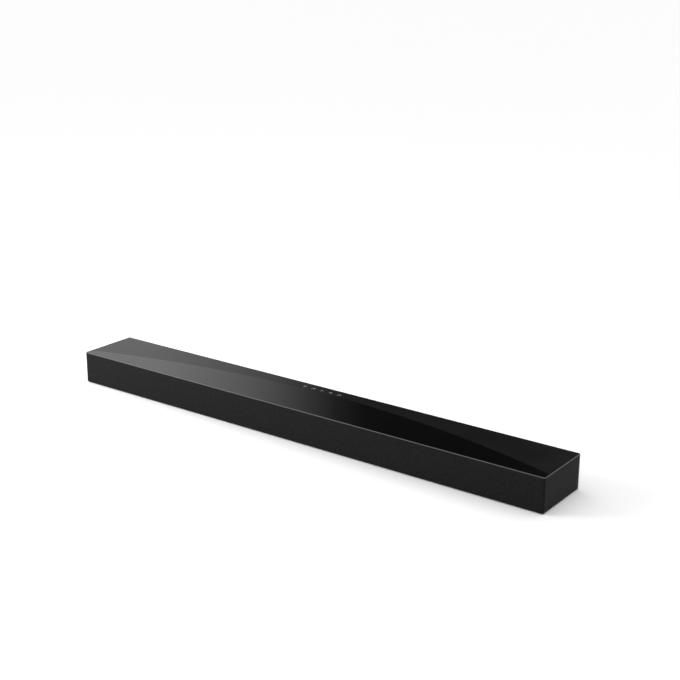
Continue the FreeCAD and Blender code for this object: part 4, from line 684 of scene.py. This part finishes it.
def make_marks():
    """A generic sign on each button."""
    material = button_ink()
    for name, draw in MARKS.items():
        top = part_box("button_" + name)[1][2]
        mesh = bmesh.new()
        draw(mesh, middle_of("button_" + name), top)
        new_piece("mark_" + name, mesh, material, "button_" + name)


# ---- studio --------------------------------------------------------------------------------------
CAMERA_PLACE = (1.3684, -1.7593, 0.8970)
CAMERA_AZIMUTH = 36.33
CAMERA_ELEVATION = 17.92
CAMERA_ROLL = 0.19
CAMERA_LENS = 67.98             # mm, on a sensor this wide
CAMERA_SENSOR = 36.0
CAMERA_NEAR, CAMERA_FAR = 0.05, 400.0
FLOOR_HALF = 90.0
FLOOR_LEVEL = -0.1 * MM         # so that the feet and the floor share no plane
SOFTBOX_PLACE = (-1.2, -1.0, 0.7)
SOFTBOX_TARGET = (-0.5, 0, 0.03)
SOFTBOX_SIZE = (0.8, 0.8)
SOFTBOX_POWER = 20


def make_camera():
    """The camera, a little above and to the right of the bar's front."""
    data = bpy.data.cameras.new("camera")
    data.lens = CAMERA_LENS
    data.sensor_width = CAMERA_SENSOR
    data.clip_start, data.clip_end = CAMERA_NEAR, CAMERA_FAR
    camera = bpy.data.objects.new("camera", data)
    bpy.context.scene.collection.objects.link(camera)
    turn = (Matrix.Rotation(math.radians(CAMERA_AZIMUTH), 4, "Z")
            @ Matrix.Rotation(math.radians(90 - CAMERA_ELEVATION), 4, "X")
            @ Matrix.Rotation(math.radians(CAMERA_ROLL), 4, "Z"))
    camera.matrix_world = Matrix.Translation(CAMERA_PLACE) @ turn
    bpy.context.scene.camera = camera


def make_floor():
    """Plain pale paper sweep."""
    mesh = bmesh.new()
    bmesh.ops.create_grid(mesh, x_segments=2, y_segments=2, size=FLOOR_HALF)
    data = bpy.data.meshes.new("floor")
    mesh.to_mesh(data)
    mesh.free()
    floor = bpy.data.objects.new("floor", data)
    floor.location.z = FLOOR_LEVEL
    bpy.context.scene.collection.objects.link(floor)
    material, tree, surface = shader("paper_matt", 0.9, extra={"Specular IOR Level": 0.1})
    surface.inputs["Base Color"].default_value = linear("#fafafa")
    data.materials.append(material)


# How bright the studio is by direction: degrees round from the back towards the left, and brightness.
AROUND = ((-180, 0.05), (-120, 0.2), (-75, 1.2), (-2, 1.0), (12, 0.7), (20, 0.5), (24.5, 0.06), (28, 0.02),
          (35, 0.02), (37, 0.09), (38.7, 0.30), (41, 0.56), (45, 0.90), (60, 1.0), (130, 1.0), (155, 0.1),
          (180, 0.05))
OVERHEAD = 1.3                          # brightness from above
OVERHEAD_FROM, OVERHEAD_TO = 32, 50     # degrees above the horizon


def make_world():
    """A soft pale dome, dim in front, with a dark flag behind that the gloss panel mirrors as black."""
    world = bpy.data.worlds.new("studio")
    bpy.context.scene.world = world
    world.use_nodes = True
    tree = world.node_tree
    tree.nodes.clear()
    way = add(tree, "ShaderNodeTexCoord").outputs["Generated"]
    axes = add(tree, "ShaderNodeSeparateXYZ", {"Vector": way}).outputs
    leftwards = add(tree, "ShaderNodeMath", {0: axes["X"], 1: -1.0}, operation="MULTIPLY").outputs["Value"]
    angle = add(tree, "ShaderNodeMath", {0: leftwards, 1: axes["Y"]}, operation="ARCTAN2").outputs["Value"]
    turn = add(tree, "ShaderNodeMapRange", {"Value": angle, "From Min": -math.pi, "From Max": math.pi})
    ramp = add(tree, "ShaderNodeValToRGB", {"Fac": turn.outputs["Result"]})
    stops = ramp.color_ramp.elements
    while len(stops) > 1:
        stops.remove(stops[-1])
    for number, (degrees, level) in enumerate(AROUND):
        stop = stops[0] if number == 0 else stops.new((degrees + 180) / 360)
        stop.position = (degrees + 180) / 360
        stop.color = (level, level, level, 1)
    rise = {"Value": axes["Z"], "From Min": math.sin(math.radians(OVERHEAD_FROM)),
            "From Max": math.sin(math.radians(OVERHEAD_TO))}
    up = add(tree, "ShaderNodeMapRange", rise, interpolation_type="SMOOTHSTEP").outputs["Result"]
    dome = add(tree, "ShaderNodeMix", {"Factor": up}, data_type="RGBA")
    tree.links.new(ramp.outputs["Color"], dome.inputs["A"])
    dome.inputs["B"].default_value = (OVERHEAD, OVERHEAD, OVERHEAD, 1)
    lit = add(tree, "ShaderNodeBackground", {"Color": dome.outputs["Result"], "Strength": 1.0})
    seen = add(tree, "ShaderNodeBackground", {"Color": linear("#f8f8f8"), "Strength": 1.0})
    eye = add(tree, "ShaderNodeLightPath").outputs["Is Camera Ray"]
    either = add(tree, "ShaderNodeMixShader", {"Fac": eye, 1: lit.outputs["Background"],
                                               2: seen.outputs["Background"]})
    add(tree, "ShaderNodeOutputWorld", {"Surface": either.outputs["Shader"]})


def make_light(name, place, target, size, power):
    """A soft box that faces a target."""
    data = bpy.data.lights.new(name, "AREA")
    data.shape = "RECTANGLE"
    data.size, data.size_y = size
    data.energy = power
    light = bpy.data.objects.new(name, data)
    bpy.context.scene.collection.objects.link(light)
    light.location = place
    light.rotation_euler = (Vector(target) - Vector(place)).to_track_quat("-Z", "Y").to_euler()


dress_frame()
make_cloth()
make_keypad()
make_suspensions()
make_marks()
make_floor()
make_world()
make_light("softbox_left", SOFTBOX_PLACE, SOFTBOX_TARGET, SOFTBOX_SIZE, SOFTBOX_POWER)
make_camera()
bpy.context.scene.view_settings.view_transform = "Standard"
